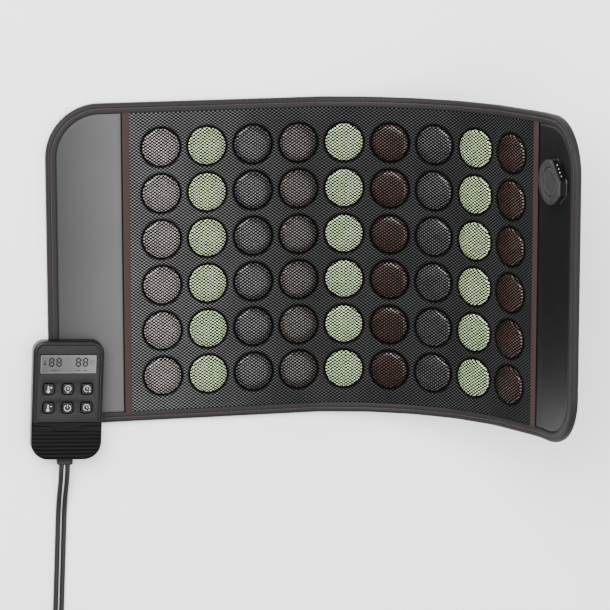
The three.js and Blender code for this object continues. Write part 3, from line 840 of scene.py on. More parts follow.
carbon_felt = Finish("carbon_felt", (0.003, 0.003, 0.003), 0.95, Specular_IOR_Level=0.1)
fibres = carbon_felt.noise(carbon_felt.where(scale=(1, 0.2, 1)), 0.5, 4.0)
carbon_felt.colour(carbon_felt.ramp(fibres, (0.35, (0.0015, 0.0015, 0.0016)), (0.8, (0.006, 0.006, 0.0062))))
carbon_felt.relief(fibres, 0.1, 0.6)


def lathe(profile, centre, sides=44):
    """A round solid: (radius, height) pairs turned about a vertical axis."""
    profile = np.asarray(profile, float)
    angle = np.linspace(0, 2 * math.pi, sides, endpoint=False)
    x = centre[0] + profile[:, :1] * np.cos(angle)
    y = centre[1] + profile[:, :1] * np.sin(angle)
    z = np.broadcast_to(profile[:, 1:], x.shape)
    run = girth(profile)[:-1]
    return swept(np.stack([x, y, z], 2), run, np.linspace(0, 2 * math.pi * profile[:, 0].max(), sides + 1))


def make_stones():
    """Six lathed stones in each column, and the thin felt heating strip that they are bonded to."""
    for column, (slot, finish) in enumerate(STONE_ORDER):
        u, body = COLUMN_U[column], BODIES[column + 1]
        node = f"stone_row_{column + 1}"
        for row, v in enumerate(ROW_V):
            shape = laid_flat(lathe(STONE_PROFILE, (0.0, v)), u)
            rigid(f"stone_{column + 1}_{row + 1}", shape, finish, body, [node])
        low = (-17.0, ROW_V[0] - 33.0, PAD_TOP + 0.05)
        high = (17.0, ROW_V[-1] + 33.0, -0.42)
        strip = laid_flat(rounded_box(low, high, 0.25), u)
        rigid(f"heating_strip_{column + 1}", strip, carbon_felt, body, [node])


make_stones()


# ---------------------------------------------------------------- net cover

NET_A = PITCH / 10.5                  # hole spacing along a row of holes
NET_B = 1.67                          # spacing of the rows, each shifted by half a hole
NET_D = 0.60                          # how far a corner of the honeycomb stands off its row's middle
NET_HALF = 164.6
THREAD = 0.17                         # half the thickness of a thread
RIM_STARTS, RING_R = 17.4, 21.4       # where the net leaves a stone's dome, and where it reaches the ring
HOLE = [(1.20, 0.0), (0.58, 0.72), (-0.58, 0.72), (-1.20, 0.0), (-0.58, -0.72), (0.58, -0.72)]


def net_height(u, v):
    """Height of the net: over each stone a dome, then a steep fall to a ring drawn down round the
    stone, and a gentle rise to the open net between stones. r is the distance to the nearest
    stone's centre."""
    du = np.min(np.abs(u[..., None] - COLUMN_U), -1)
    dv = np.min(np.abs(v[..., None] - ROW_V), -1)
    r = np.hypot(du, dv)
    dome = 4.42 - 0.75 * (r / 17.6) ** 3.2
    ring = 0.35 + 1.25 * smooth_step((r - 21.6) / 4.2)
    fall = smooth_step((r - RIM_STARTS) / (RING_R - RIM_STARTS))
    rim = (4.42 - 0.75 * (np.minimum(r, RING_R) / 17.6) ** 3.2) * (1 - fall) + ring * fall
    height = np.where(r < RIM_STARTS, dome, rim)
    edge = smooth_step((NET_HALF - np.abs(v)) / 5.0)
    return np.where(r > RING_R, ring * (0.35 + 0.65 * edge), height)


def net_cells(u0, u1):
    """Hole centres of the honeycomb between two ends, as whole numbers (half steps along, rows)."""
    half = NET_A / 2
    first, last = int(math.floor(u0 / half)), int(math.ceil(u1 / half))
    reach = int(NET_HALF / NET_B)
    i, j = np.meshgrid(np.arange(first, last + 1), np.arange(-reach, reach + 1), indexing="ij")
    centre = i * half
    keep = ((i + j) % 2 == 0) & (centre > u0) & (centre <= u1)
    return i[keep], j[keep]


def make_net(zone, u0, u1):
    """Each hole has a ring of six sloping faces above and six below, from the middle line of its
    threads to the hole's edge, so that a thread is a rounded bar. The corners are shared by three
    rings, and a wall closes the net where the next ring is missing."""
    i, j = net_cells(u0, u1)
    count = len(i)
    half = NET_A / 2
    # A row's cell owns the corner on its left (0) and on its right (1). Its other four corners are
    # owned by the cells of the next rows.
    owner_i = np.stack([i, i + 1, i - 1, i, i - 1, i + 1], 1)
    owner_j = np.stack([j, j + 1, j + 1, j, j - 1, j - 1], 1)
    owner_side = np.broadcast_to(np.array([1, 0, 1, 0, 1, 0]), owner_i.shape)
    keys = ((owner_i + 5000) * 4000 + owner_j + 2000) * 2 + owner_side
    unique, corner = np.unique(keys, return_inverse=True)
    corner = corner.reshape(count, 6)
    side = unique % 2
    row = (unique // 2) % 4000 - 2000
    step = unique // 8000 - 5000
    corner_u = step * half + np.where(side == 1, 1, -1) * (half - NET_D)
    corner_v = row * NET_B
    hole = np.array(HOLE)
    hole_u = (i * half)[:, None] + hole[:, 0]
    hole_v = (j * NET_B)[:, None] + hole[:, 1]
    corners = len(unique)
    u = np.concatenate([corner_u, corner_u, hole_u.ravel()])
    v = np.concatenate([corner_v, corner_v, hole_v.ravel()])
    lift = np.concatenate([np.full(corners, THREAD), np.full(corners, -THREAD), np.zeros(count * 6)])
    points = on_mat(u, v, net_height(u, v) + lift)

    rim = 2 * corners + np.arange(count * 6).reshape(count, 6)
    following = np.roll(corner, -1, 1)
    rim_following = np.roll(rim, -1, 1)
    above = np.stack([corner, following, rim_following, rim], 2).reshape(-1, 4)
    below = np.stack([corner, following, rim_following, rim], 2)
    below[:, :, :2] += corners
    below = below.reshape(-1, 4)[:, ::-1]
    pairs = np.stack([corner, following], 2).reshape(-1, 2)
    edge_key = pairs.min(1).astype(np.int64) * corners + pairs.max(1)
    _, first, times = np.unique(edge_key, return_index=True, return_counts=True)
    alone = pairs[first[times == 1]]
    walls = np.stack([alone[:, 0] + corners, alone[:, 1] + corners, alone[:, 1], alone[:, 0]], 1)
    piece = make_piece(f"net_cover_{zone + 1}", points, [above, below, walls], net_thread,
                       np.column_stack([u, v]) * MM, sharp=180)
    nodes = [f"mesh_strip_{zone + 1}"] if zone < COLUMNS else []
    across_fold(piece, zone, nodes)


# The threads carry painted sheen: grey between the stones, lighter towards the left, and black over and round
# them
net_thread = Finish("net_thread", (0.03, 0.03, 0.03), 0.65, Specular_IOR_Level=0.04)
where = net_thread.where("UV")
strand = net_thread.noise(where, 0.6, 2.0)
wear = net_thread.noise(where, 60.0, 2.0)
tone = net_thread.maths(net_thread.maths(strand, 0.5, "MULTIPLY"), net_thread.maths(wear, 0.5, "MULTIPLY"))
# The place within a square round each stone, kept to the squares that hold one
cell = where
for operation, *values in (("MULTIPLY_ADD", (20.0, 20.0, 1.0), (0.02, 0.0, 0.0)),
                           ("MAXIMUM", (2.001, -2.999, 0.0)),
                           ("MINIMUM", (10.999, 2.999, 0.0)),
                           ("FRACTION",),
                           ("SUBTRACT", (0.5, 0.5, 0.0))):
    inputs = dict(enumerate([cell, *values]))
    cell = net_thread.node("VectorMath", inputs, operation=operation).outputs[0]
reach = net_thread.node("VectorMath", {0: cell}, operation="LENGTH").outputs["Value"]
# Painted sheen: the threads between the stones are lit grey, and those over and round the stones stay black
painted_sheen_off_stones = net_thread.ramp(reach, (0.0, 0.006), (0.40, 0.006), (0.435, 0.02), (0.475, 1.0))
along, across, _ = net_thread.node("SeparateXYZ", {"Vector": where}).outputs
wave_u = net_thread.maths(net_thread.maths(along, 2 * math.pi / (NET_A * MM), "MULTIPLY"), 0.0, "COSINE")
wave_v = net_thread.maths(net_thread.maths(across, math.pi / (NET_B * MM), "MULTIPLY"), 0.0, "COSINE")
crossing = net_thread.maths(net_thread.maths(wave_u, wave_v, "MULTIPLY"), -0.5, "MULTIPLY")
crossing = net_thread.ramp(net_thread.maths(crossing, 0.5), (0.25, 0.04), (0.55, 0.3), (0.9, 1.0))
# Painted sheen: the threads grow lighter towards the mat's left end
share = net_thread.maths(along, 1.0 / 0.648, "MULTIPLY")
painted_sheen_to_left = net_thread.ramp(share, (0.12, 0.90), (0.42, 0.34), (0.9, 0.21))
wear_and_painted_sheen = net_thread.blend_colours(1.0, painted_sheen_off_stones, painted_sheen_to_left, "MULTIPLY")
wear_and_painted_sheen = net_thread.blend_colours(1.0, wear_and_painted_sheen, crossing, "MULTIPLY")
grey = net_thread.ramp(tone, (0.3, (0.093, 0.093, 0.095)), (0.7, (0.20, 0.20, 0.204)))
net_thread.colour(net_thread.blend_colours(1.0, grey, wear_and_painted_sheen, "MULTIPLY"))
net_thread.rough(net_thread.ramp(strand, (0.3, 0.5), (0.7, 0.7)))

NET_LEFT = PANEL + 7.6                # the net's ends lie under the ribbons
NET_RIGHT = MAT_LENGTH - NET_LEFT
for zone in ZONES:
    make_net(zone, max(ZONE_U[zone], NET_LEFT), min(ZONE_U[zone + 1], NET_RIGHT))


# ---------------------------------------------------------------- ribbons

ribbon_weave = Finish("ribbon_weave", (0.022, 0.014, 0.012), 0.75, Specular_IOR_Level=0.2,
                      Sheen_Weight=0.05, Sheen_Roughness=0.4)
where = ribbon_weave.where("UV")
rib = ribbon_weave.ridges(where, 0.8, "Y")
fleck = ribbon_weave.noise(where, 0.5, 3.0)
ribs = ribbon_weave.maths(rib, 0.6, "MULTIPLY")
tone = ribbon_weave.maths(ribs, ribbon_weave.maths(fleck, 0.4, "MULTIPLY"))
ribbon_weave.colour(ribbon_weave.ramp(tone, (0.2, (0.015, 0.0080, 0.0068)), (0.8, (0.031, 0.0175, 0.0150))))
ribbon_weave.relief(fleck, 0.08, 0.4)


RIBBON = 7.6


def make_ribbon(word, zone, u0):
    """A flat ribbon with crosswise ribs: height = crown across the width + a cosine along its length,
    which fades towards the two edges."""
    half, pitch = MAT_HALF - BINDING + 0.6, 1.25
    across = np.linspace(0, 1, 9)
    v = np.arange(-half, half + 0.01, pitch / 4)
    a, v = np.meshgrid(across, v, indexing="ij")
    u = u0 + RIBBON * a
    crown = 1.0 - (2 * a - 1) ** 6
    h = 1.75 + 0.35 * crown + 0.11 * crown * np.cos(2 * math.pi * v / pitch)
    points, faces, uvs = slab(on_mat(u, v, h), on_mat(u, v, np.full_like(h, 1.2)), np.stack([u, v], 2))
    ribbon = make_piece(f"{word}_seam_ribbon", points, faces, ribbon_weave, uvs)
    across_fold(ribbon, zone, [f"ribbon_{word}"])


make_ribbon("left", 0, PANEL + 0.5)
make_ribbon("right", len(folds) - 1, MAT_LENGTH - PANEL - 8.1)


# ---------------------------------------------------------------- leather end panels

def leather_finish(name, dark, light, roughness, pebble):
    """Grained leather: pebbles of a size in millimetres, and a painted sheen that lightens the colour from
    the panel's outer end towards its seam.
    """
    finish = Finish(name, dark, roughness, Specular_IOR_Level=0.2)
    where = finish.where("UV")
    cells = finish.cells(where, pebble)
    fine = finish.noise(where, pebble * 0.6, 3.0)
    cloud = finish.noise(where, 90.0, 2.0)
    grain = finish.maths(finish.maths(cells, 0.7, "MULTIPLY"), finish.maths(fine, 0.5, "MULTIPLY"))
    across = finish.node("SeparateXYZ", {"Vector": where}).outputs["X"]
    # Painted sheen: dark at the panel's outer end, light towards its seam
    shade = finish.maths(across, 1 / (PANEL * MM), "MULTIPLY")
    tone = finish.maths(finish.maths(cloud, 0.5, "MULTIPLY"), finish.maths(grain, 0.25, "MULTIPLY"))
    wear_and_painted_sheen = finish.ramp(tone, (0.2, 0.8), (0.55, 1.0))
    finish.colour(finish.blend_colours(1.0, finish.ramp(shade, (0.1, dark), (0.9, light)), wear_and_painted_sheen, "MULTIPLY"))
    finish.rough(finish.ramp(grain, (0.2, roughness - 0.07), (0.8, roughness + 0.1)))
    finish.relief(grain, 0.10, 0.55)
    return finish


def make_leather(word, zone, finish):
    """A leather panel: a closed sheet that is crowned in the middle and rolls down into the groove
    beside the binding, the seam and the ribbon."""
    inset, seam = BINDING + 0.35, PANEL - 0.9
    corner = inset + (CORNER_R - inset) * (1 - np.cos(np.linspace(0, math.pi / 2, 40)))
    rest = np.linspace(CORNER_R, seam, 16)[1:]
    edge = seam - np.array([1.6, 1.0, 0.6, 0.3, 0.1])
    u = np.unique(np.concatenate([corner, inset + np.array([0.1, 0.3, 0.6, 1.0, 1.6]), rest, edge]))
    t = np.sin(np.linspace(-math.pi / 2, math.pi / 2, 131))
    side = half_width(u, inset)[:, None]
    v = side * t
    u = np.broadcast_to(u[:, None], v.shape)
    round_d = np.where((u < CORNER_R) & (np.abs(v) > MAT_HALF - CORNER_R),
                       CORNER_R - inset - np.hypot(CORNER_R - u, np.abs(v) - MAT_HALF + CORNER_R),
                       np.minimum(MAT_HALF - inset - np.abs(v), u - inset))
    d = np.maximum(np.minimum(round_d, seam - u), 0)
    h = 2.0 - 1.1 * np.exp(-d / 0.9) + 0.25 * smooth_step(d / 26.0)
    if word == "right":
        u, v = MAT_LENGTH - u, -v
    points, faces, uvs = slab(on_mat(u, v, h), on_mat(u, v, np.full_like(h, 0.1)), np.stack([u, v], 2))
    panel = make_piece(f"{word}_leather", points, faces, finish, uvs)
    across_fold(panel, zone, [f"{word}_cover"])


grey_leather = leather_finish("grey_leather", (0.024, 0.024, 0.0243), (0.066, 0.066, 0.0664), 0.55, 0.9)
black_leather = leather_finish("black_leather", (0.0028, 0.0028, 0.0029), (0.0025, 0.0025, 0.0026), 0.4, 0.8)
make_leather("left", 0, grey_leather)
make_leather("right", len(folds) - 1, black_leather)


# ---------------------------------------------------------------- edge binding and its stitches

# Section of the binding, from its inner edge on top, round the mat's edge, to its inner edge below
# and back inside: (distance in from the edge, height)
BINDING_SECTION = np.array([
    (BINDING, 1.1), (10.9, 1.75), (10.4, 2.05), (8.5, 2.15), (7.0, 2.2), (6.5, 2.1), (5.9, 1.75), (5.3, 1.75),
    (4.7, 2.15), (4.0, 2.4), (2.8, 2.35), (1.6, 1.9), (0.7, 1.1), (0.2, 0.0), (0.0, -1.4), (0.0, -2.8),
    (0.3, -4.2), (1.0, -5.2), (2.2, -5.8), (3.6, -5.95), (4.8, -5.8), (5.5, -5.5), (6.2, -5.8), (7.2, -5.95),
    (10.6, -5.95), (11.0, -5.6), (10.6, -5.2), (4.0, -5.2), (2.4, -4.4), (1.6, -2.8), (1.6, -1.0), (2.6, 0.4),
    (4.2, 0.9), (10.4, 0.9)])
STITCH_INSET = 5.6
STITCH_TOP = 1.95
STITCH_UNDER = -5.7

binding_cloth = Finish("binding_cloth", (0.006, 0.006, 0.006), 0.6, Specular_IOR_Level=0.2,
                       Sheen_Weight=0.02, Sheen_Roughness=0.4)
where = binding_cloth.where("UV")
twill = binding_cloth.ridges(binding_cloth.where("UV", turn=(0, 0, math.radians(40))), 0.7, "X")
fleck = binding_cloth.noise(where, 0.8, 3.0)
lines = binding_cloth.maths(twill, 0.5, "MULTIPLY")
tone = binding_cloth.maths(lines, binding_cloth.maths(fleck, 0.5, "MULTIPLY"))
binding_cloth.colour(binding_cloth.ramp(tone, (0.2, 0.0042), (0.8, 0.0095)))
binding_cloth.rough(binding_cloth.ramp(fleck, (0.3, 0.5), (0.7, 0.7)))
binding_cloth.relief(tone, 0.08, 0.5)

red_thread = Finish("red_thread", (0.11, 0.035, 0.03), 0.6, Sheen_Weight=0.05, Sheen_Roughness=0.3)
twist = red_thread.noise(red_thread.where(scale=(1, 1, 1)), 0.35, 2.0)
red_thread.colour(red_thread.ramp(twist, (0.3, (0.07, 0.026, 0.023)), (0.7, (0.13, 0.05, 0.044))))


def edge_runs(zone):
    """The mat's edge in a zone, as runs of (u, v, inward u, inward v, distance): two straight runs,
    or for an end zone one run round the end, straight, corner, straight, corner, straight."""
    u0, u1 = ZONE_U[zone], ZONE_U[zone + 1]
    if zone not in (0, len(folds) - 1):
        u = np.linspace(u0, u1, 26)
        up = np.ones_like(u)
        return [(u, -MAT_HALF * up, 0 * up, up, u), (u[::-1], MAT_HALF * up, 0 * up, -up, -u[::-1])]
    far = u1 if zone == 0 else MAT_LENGTH - u0
    reach = MAT_HALF - CORNER_R
    turn = np.radians(np.linspace(0, 90, 31))
    lead = np.linspace(far, CORNER_R, int((far - CORNER_R) / 2.0) + 1)[:-1]
    side = np.linspace(reach, -reach, 41)[1:-1]
    u = np.concatenate([lead, CORNER_R - CORNER_R * np.sin(turn), 0 * side])
    v = np.concatenate([0 * lead + MAT_HALF, reach + CORNER_R * np.cos(turn), side])
    inward_u = np.concatenate([0 * lead, np.sin(turn), 0 * side + 1])
    inward_v = np.concatenate([0 * lead - 1, -np.cos(turn), 0 * side])
    mirror = slice(len(lead) + len(turn) - 1, None, -1)
    u = np.concatenate([u, u[mirror]])
    v = np.concatenate([v, -v[mirror]])
    inward_u = np.concatenate([inward_u, inward_u[mirror]])
    inward_v = np.concatenate([inward_v, -inward_v[mirror]])
    if zone > 0:
        u, inward_u, v, inward_v = MAT_LENGTH - u, -inward_u, -v, -inward_v
    run = np.concatenate([[0], np.cumsum(np.hypot(np.diff(u), np.diff(v)))])
    return [(u, v, inward_u, inward_v, run)]


def make_binding(zone):
    """The binding's section carried along the mat's edge, and its stitches."""
    around = girth(BINDING_SECTION)
    parts = []
    for u, v, inward_u, inward_v, run in edge_runs(zone):
        inset, h = BINDING_SECTION[:, 0], BINDING_SECTION[:, 1]
        loops = on_mat(u[:, None] + inward_u[:, None] * inset, v[:, None] + inward_v[:, None] * inset,
                       np.broadcast_to(h, (len(u), len(h))))
        parts.append(swept(loops, run, around))
    points, faces, uvs = joined(parts)
    piece = make_piece(f"edge_binding_{zone + 1}", points, faces, binding_cloth, uvs, sharp=50)
    across_fold(piece, zone)
    make_stitches(zone)


def make_stitches(zone):
    """Dashes of thread along the binding, on its top and its underside: each a small bent lozenge, a
    six-sided section that swells from its ends to its middle."""
    pitch, length = 2.94, 1.75
    swell = np.array([0.35, 0.9, 1.0, 0.9, 0.35])
    place = np.linspace(-0.5, 0.5, 5) * length
    dip = -0.22 * (2 * place / length) ** 4
    angle = np.radians(np.arange(0, 360, 60))
    along = np.repeat(place[:, None], 6, 1)
    across = 0.36 * swell[:, None] * np.cos(angle)
    up = 0.26 * swell[:, None] * np.sin(angle) + dip[:, None]
    body = quads(5, 6, wrap=True)
    caps = np.stack([np.arange(6), 24 + np.arange(6)[::-1]])
    points, faces_4, faces_6, count = [], [], [], 0
    for u, v, inward_u, inward_v, run in edge_runs(zone):
        line = np.column_stack([u + inward_u * STITCH_INSET, v + inward_v * STITCH_INSET])
        steps = np.concatenate([[0], np.cumsum(np.linalg.norm(np.diff(line, axis=0), axis=1))])
        number = int(round(steps[-1] / pitch))
        at = (np.arange(number) + 0.5) * steps[-1] / number
        for level, sense in ((STITCH_TOP, 1), (STITCH_UNDER, -1)):
            centre = np.column_stack([np.interp(at, steps, line[:, k]) for k in (0, 1)])
            ahead = np.column_stack([np.interp(at + 0.5, steps, line[:, k]) for k in (0, 1)]) - centre
            ahead /= np.linalg.norm(ahead, axis=1)[:, None]
            side = np.column_stack([-ahead[:, 1], ahead[:, 0]])
            stitch_u = centre[:, :1, None] + ahead[:, :1, None] * along + side[:, :1, None] * across
            stitch_v = centre[:, 1:, None] + ahead[:, 1:, None] * along + side[:, 1:, None] * across
            stitch_h = np.broadcast_to(level + sense * up, stitch_u.shape)
            points.append(on_mat(stitch_u, stitch_v, stitch_h).reshape(-1, 3))
            starts = count + 30 * np.arange(number)[:, None, None]
            faces_4.append((starts + body[:, ::sense]).reshape(-1, 4))
            faces_6.append((starts + caps[:, ::sense]).reshape(-1, 6))
            count += 30 * number
    piece = make_piece(f"binding_stitches_{zone + 1}", np.concatenate(points),
                       [np.concatenate(faces_4), np.concatenate(faces_6)], red_thread, sharp=180)
    across_fold(piece, zone)


for zone in ZONES:
    make_binding(zone)


# ---------------------------------------------------------------- socket on the right end panel

SOCKET_U = FOLD_U[-1] + 38.0
SOCKET_V = 106.0
SOCKET_R = 23.5
SOCKET_BASE = 1.9
SOCKET_TOP = 12.0
CAP_R = 15.2

black_gloss = moulded("socket_black", (0.0025, 0.0025, 0.0026), 0.35, 0.25, (0.4, 3.0), (0.28, 0.42),
                      0.02, 0.3)
socket_grey = moulded("socket_grey", (0.022, 0.022, 0.022), 0.5, 0.25, (0.35, 2.0), (0.42, 0.58), 0.03, 0.5,
                      (14.0, 2.0, (0.016, 0.016, 0.0162), (0.024, 0.024, 0.0243)))


def socket_outline():
    """Round from 78 degrees on through the left to 292 degrees, then three flats."""
    a = np.radians(np.linspace(78, 292, 45))
    arc = SOCKET_R * np.column_stack([np.cos(a), np.sin(a)])
    corners = np.array([(22.5, -11.0), (22.5, 3.0)])
    loop = [arc]
    path = np.concatenate([arc[-1:], corners, arc[:1]])
    for p, q in zip(path[:-1], path[1:]):
        loop.append(p + (q - p) * np.linspace(0, 1, 7)[1:-1, None])
        loop.append(q[None])
    return np.concatenate(loop)[:-1]


def make_socket():
    """Housing and face ring are the outline drawn in by steps at rising heights, the cap is lathed,
    and the contact strip stands on the outline's upper right flat."""
    outline = socket_outline()
    reach = np.linalg.norm(outline, axis=1)[:, None]
    spoke = outline / reach

    def loop(inset, h):
        """The outline drawn in, at one height."""
        flat = outline - spoke * inset
        return np.column_stack([flat[:, 0], flat[:, 1] + SOCKET_V, np.full(len(flat), h)])

    def circle(r, h):
        """A circle with a point on each of the outline's spokes."""
        return np.column_stack([spoke[:, 0] * r, spoke[:, 1] * r + SOCKET_V, np.full(len(spoke), h)])

    rings = np.array([loop(-0.7, SOCKET_BASE), loop(-0.7, 2.7), loop(-0.15, 3.3), loop(0, 3.8), loop(0, 9.6),
                      loop(0.35, 9.95)])
    around = np.linspace(0, 140, rings.shape[1] + 1)

    def fitted(name, shape, finish, node):
        """A part of the socket in its place on the right panel."""
        rigid(name, laid_flat(shape, SOCKET_U), finish, "panel_right", [node])

    fitted("socket_housing", swept(rings, rings[:, 0, 2], around), black_gloss, "socket_body")

    rings = np.array([loop(0.35, 10.0), loop(0, 10.35), loop(0, 11.4), loop(0.2, 11.8), loop(0.6, SOCKET_TOP),
                      circle(CAP_R + 0.9, SOCKET_TOP), circle(CAP_R + 0.5, 11.8), circle(CAP_R + 0.3, 11.4),
                      circle(CAP_R + 0.3, 10.0)])
    face = swept(np.concatenate([rings, rings[:1]]), np.arange(10.0), around, closed=True)
    fitted("socket_face_ring", face, socket_grey, "socket_body")

    profile = [(1.0, 11.05), (8.5, 11.12), (10.4, 11.2), (11.0, 11.45), (11.8, 11.6), (14.0, 11.6),
               (14.8, 11.4), (15.15, 11.0), (15.2, 10.4), (14.9, 10.1), (1.0, 10.1)]
    fitted("socket_round_cap", lathe(profile, (0.0, SOCKET_V), 64), socket_grey, "socket_cap")

    start, end = outline[0], np.array([22.5, 3.0])
    along = (end - start) / np.linalg.norm(end - start)
    out = np.array([-along[1], along[0]])
    middle = (start + end) / 2
    out *= math.copysign(1.0, float(out @ middle))

    def on_flat(shape):
        """(along the flat, height, out of the flat) to the mat's own directions."""
        points, faces, uvs = shape
        flat = middle + points[..., :1] * along + points[..., 2:] * out
        return np.stack([flat[..., 0], flat[..., 1] + SOCKET_V, points[..., 1]], -1), faces, uvs

    strip = rounded_box((-9.4, 3.4, 0.0), (9.4, 10.4, 1.5), 0.4)
    fitted("contact_strip", on_flat(strip), black_gloss, "socket_contacts")
    pin = [(0.1, 2.15), (0.55, 2.1), (0.85, 1.9), (0.95, 1.6), (0.95, 1.2), (0.1, 1.2)]
    pins = joined([lathe(pin, ((k - 1.5) * 4.6, 7.4), 14) for k in range(4)])
    fitted("socket_pins", on_flat(pins), steel, "socket_contacts")


make_socket()


# ---------------------------------------------------------------- hand controller

CASE_WIDTH = 76.0
CASE_LENGTH = 130.0
CASE_TOP_R = 12.5
CASE_BOTTOM_R = 19.0
SPLIT = 9.0
WALL = 2.0
SHOULDER = 16.2                       # where the outer wall turns into the rounded rim
RIM = 18.0
RIM_WIDTH = 3.4
RECESS = 16.6
GRIP_TOP = -24.0
LCD_Y = 40.0
KEY_X = (-20.5, 0.0, 20.5)
SCREWS = ((-29.5, 56.0), (29.5, 56.0), (-28.0, -54.0), (28.0, -54.0))

case_black = moulded("case_black", (0.003, 0.003, 0.0031), 0.3, 0.16, (0.35, 3.0), (0.26, 0.4), 0.015, 0.3,
                     (25.0, 3.0, (0.0022, 0.0022, 0.0023), (0.0038, 0.0038, 0.0039)))
plate_grey = moulded("face_plate_grey", (0.008, 0.008, 0.008), 0.55, 0.15, (0.3, 2.0), (0.42, 0.6), 0.02, 0.5,
                     (30.0, 3.0, (0.0065, 0.0065, 0.0066), (0.009, 0.009, 0.0091)))
grip_black = moulded("grip_black", (0.002, 0.002, 0.0021), 0.36, 0.06, (0.5, 3.0), (0.3, 0.46), 0.02)
key_black = moulded("key_black", (0.0028, 0.0028, 0.0029), 0.3, 0.12, (0.4, 3.0), (0.2, 0.33))
relief_rubber = moulded("relief_rubber", (0.004, 0.004, 0.0042), 0.6, 0.25, (0.6, 3.0), (0.5, 0.7), 0.04, 0.5)

print_white = Finish("print_white", (0.80, 0.80, 0.80), 0.5)
print_white.colour(print_white.ramp(print_white.noise(print_white.where(), 0.5), (0.3, 0.36), (0.7, 0.44)))
print_dark = Finish("segment_dark", (0.004, 0.004, 0.0042), 0.5, Specular_IOR_Level=0.1)
print_dark.rough(print_dark.ramp(print_dark.noise(print_dark.where(), 0.5), (0.3, 0.34), (0.7, 0.48)))

# Painted highlight: a light grey strip round the pane stands for light caught on its edge
painted_edge_highlight = Finish("painted_edge_highlight_grey", (0.12, 0.12, 0.12), 0.4, Specular_IOR_Level=0.3)
painted_edge_highlight.colour(painted_edge_highlight.ramp(painted_edge_highlight.noise(painted_edge_highlight.where(), 6.0), (0.3, 0.10), (0.7, 0.15)))
display = Finish("display_glass", (0.05, 0.05, 0.05), 0.25, Specular_IOR_Level=0.2)
# Painted reflection: the pane grows lighter from its left end to its right
across = display.node("SeparateXYZ", {"Vector": display.where(scale=(1 / 60 / MM, 1, 1))}).outputs["X"]
across = display.maths(across, 0.5 - CASE_X / 60, "ADD")
display.colour(display.ramp(across, (0.0, 0.028), (0.55, 0.045), (1.0, 0.088)))
display.rough(display.ramp(display.noise(display.where(), 9.0), (0.3, 0.12), (0.8, 0.22)))

board_green = Finish("board_green", (0.02, 0.10, 0.04), 0.5)
board_colours = {"Color1": (0.02, 0.11, 0.045, 1), "Color2": (0.018, 0.09, 0.038, 1),
                 "Mortar": (0.05, 0.2, 0.08, 1)}
tracks = board_green.node("TexBrick", {"Vector": board_green.where(), "Scale": 120.0, **board_colours})
board_green.colour(tracks.outputs["Color"])


def to_case(points):
    """From the controller's own directions to the mat's: turned about its middle, then carried to it."""
    x, y = points[..., 0], points[..., 1]
    cos, sin = math.cos(CASE_TURN), math.sin(CASE_TURN)
    turned = np.stack([x * cos - y * sin, x * sin + y * cos, points[..., 2]], -1)
    return turned + np.array([CASE_X, CASE_Y, CASE_Z])


class Shell:
    """Gathers loops of points, the bands between them and flat plates with holes, as one mesh. All
    loops run counterclockwise seen from above."""

    def __init__(self):
        self.points, self.fours, self.threes, self.count = [], [], [], 0

    def loop(self, points):
        """Adds a loop and returns its points' numbers."""
        self.points.append(points)
        self.count += len(points)
        return np.arange(self.count - len(points), self.count)

    def bands(self, *loops):
        """Faces with four corners from each loop to the next."""
        for a, b in zip(loops[:-1], loops[1:]):
            self.fours.append(np.stack([a, np.roll(a, -1), np.roll(b, -1), b], 1))

    def plate(self, outer, holes, up):
        """A flat face between an outer loop and holes, cut into triangles."""
        points = np.concatenate(self.points)
        order = np.concatenate([outer, *holes])
        flat = [[Vector((*points[k][:2], 0)) for k in ring] for ring in (outer, *holes)]
        faces = order[np.array(tessellate_polygon(flat))]
        a, b, c = (points[faces[:, k], :2] for k in range(3))
        turn = (b - a)[:, 0] * (c - a)[:, 1] - (b - a)[:, 1] * (c - a)[:, 0]
        wrong = (turn > 0) != up
        faces[wrong] = faces[wrong][:, ::-1]
        self.threes.append(faces)

    def piece(self, name, finish):
        """All that was gathered, as one piece in the controller's place."""
        faces = [np.concatenate(part) for part in (self.fours, self.threes) if part]
        points = to_case(np.concatenate(self.points))
        return make_piece(name, points, faces, finish)


def case_outline(inset, steps=12):
    """The case's outline with two more points on each long side, where the grip cover starts."""
    w, r = CASE_WIDTH / 2 - inset, steps + 1
    flat = rounded_rectangle(2 * w, CASE_LENGTH - 2 * inset, CASE_TOP_R - inset, CASE_BOTTOM_R - inset, steps)
    stops = np.array([(w, GRIP_TOP + 0.1), (w, GRIP_TOP - 0.2)])
    return np.concatenate([flat[:2 * r], stops * (-1, 1), flat[2 * r:], stops[::-1]])


def level(flat, z):
    """A flat loop of points at one height."""
    return np.column_stack([flat, np.full(len(flat), z)])


def cut_for_grip(points):
    """Below the grip line the front case stops under the grip cover's rim."""
    low = points[:, 1] < GRIP_TOP
    points[low, 2] = np.minimum(points[low, 2], SHOULDER - 0.1)
    return points


def rounded_hole(centre, width, length, radius, z):
    """A rounded rectangle about a centre, at one height."""
    return level(rounded_rectangle(width, length, radius, steps=5) + centre, z)


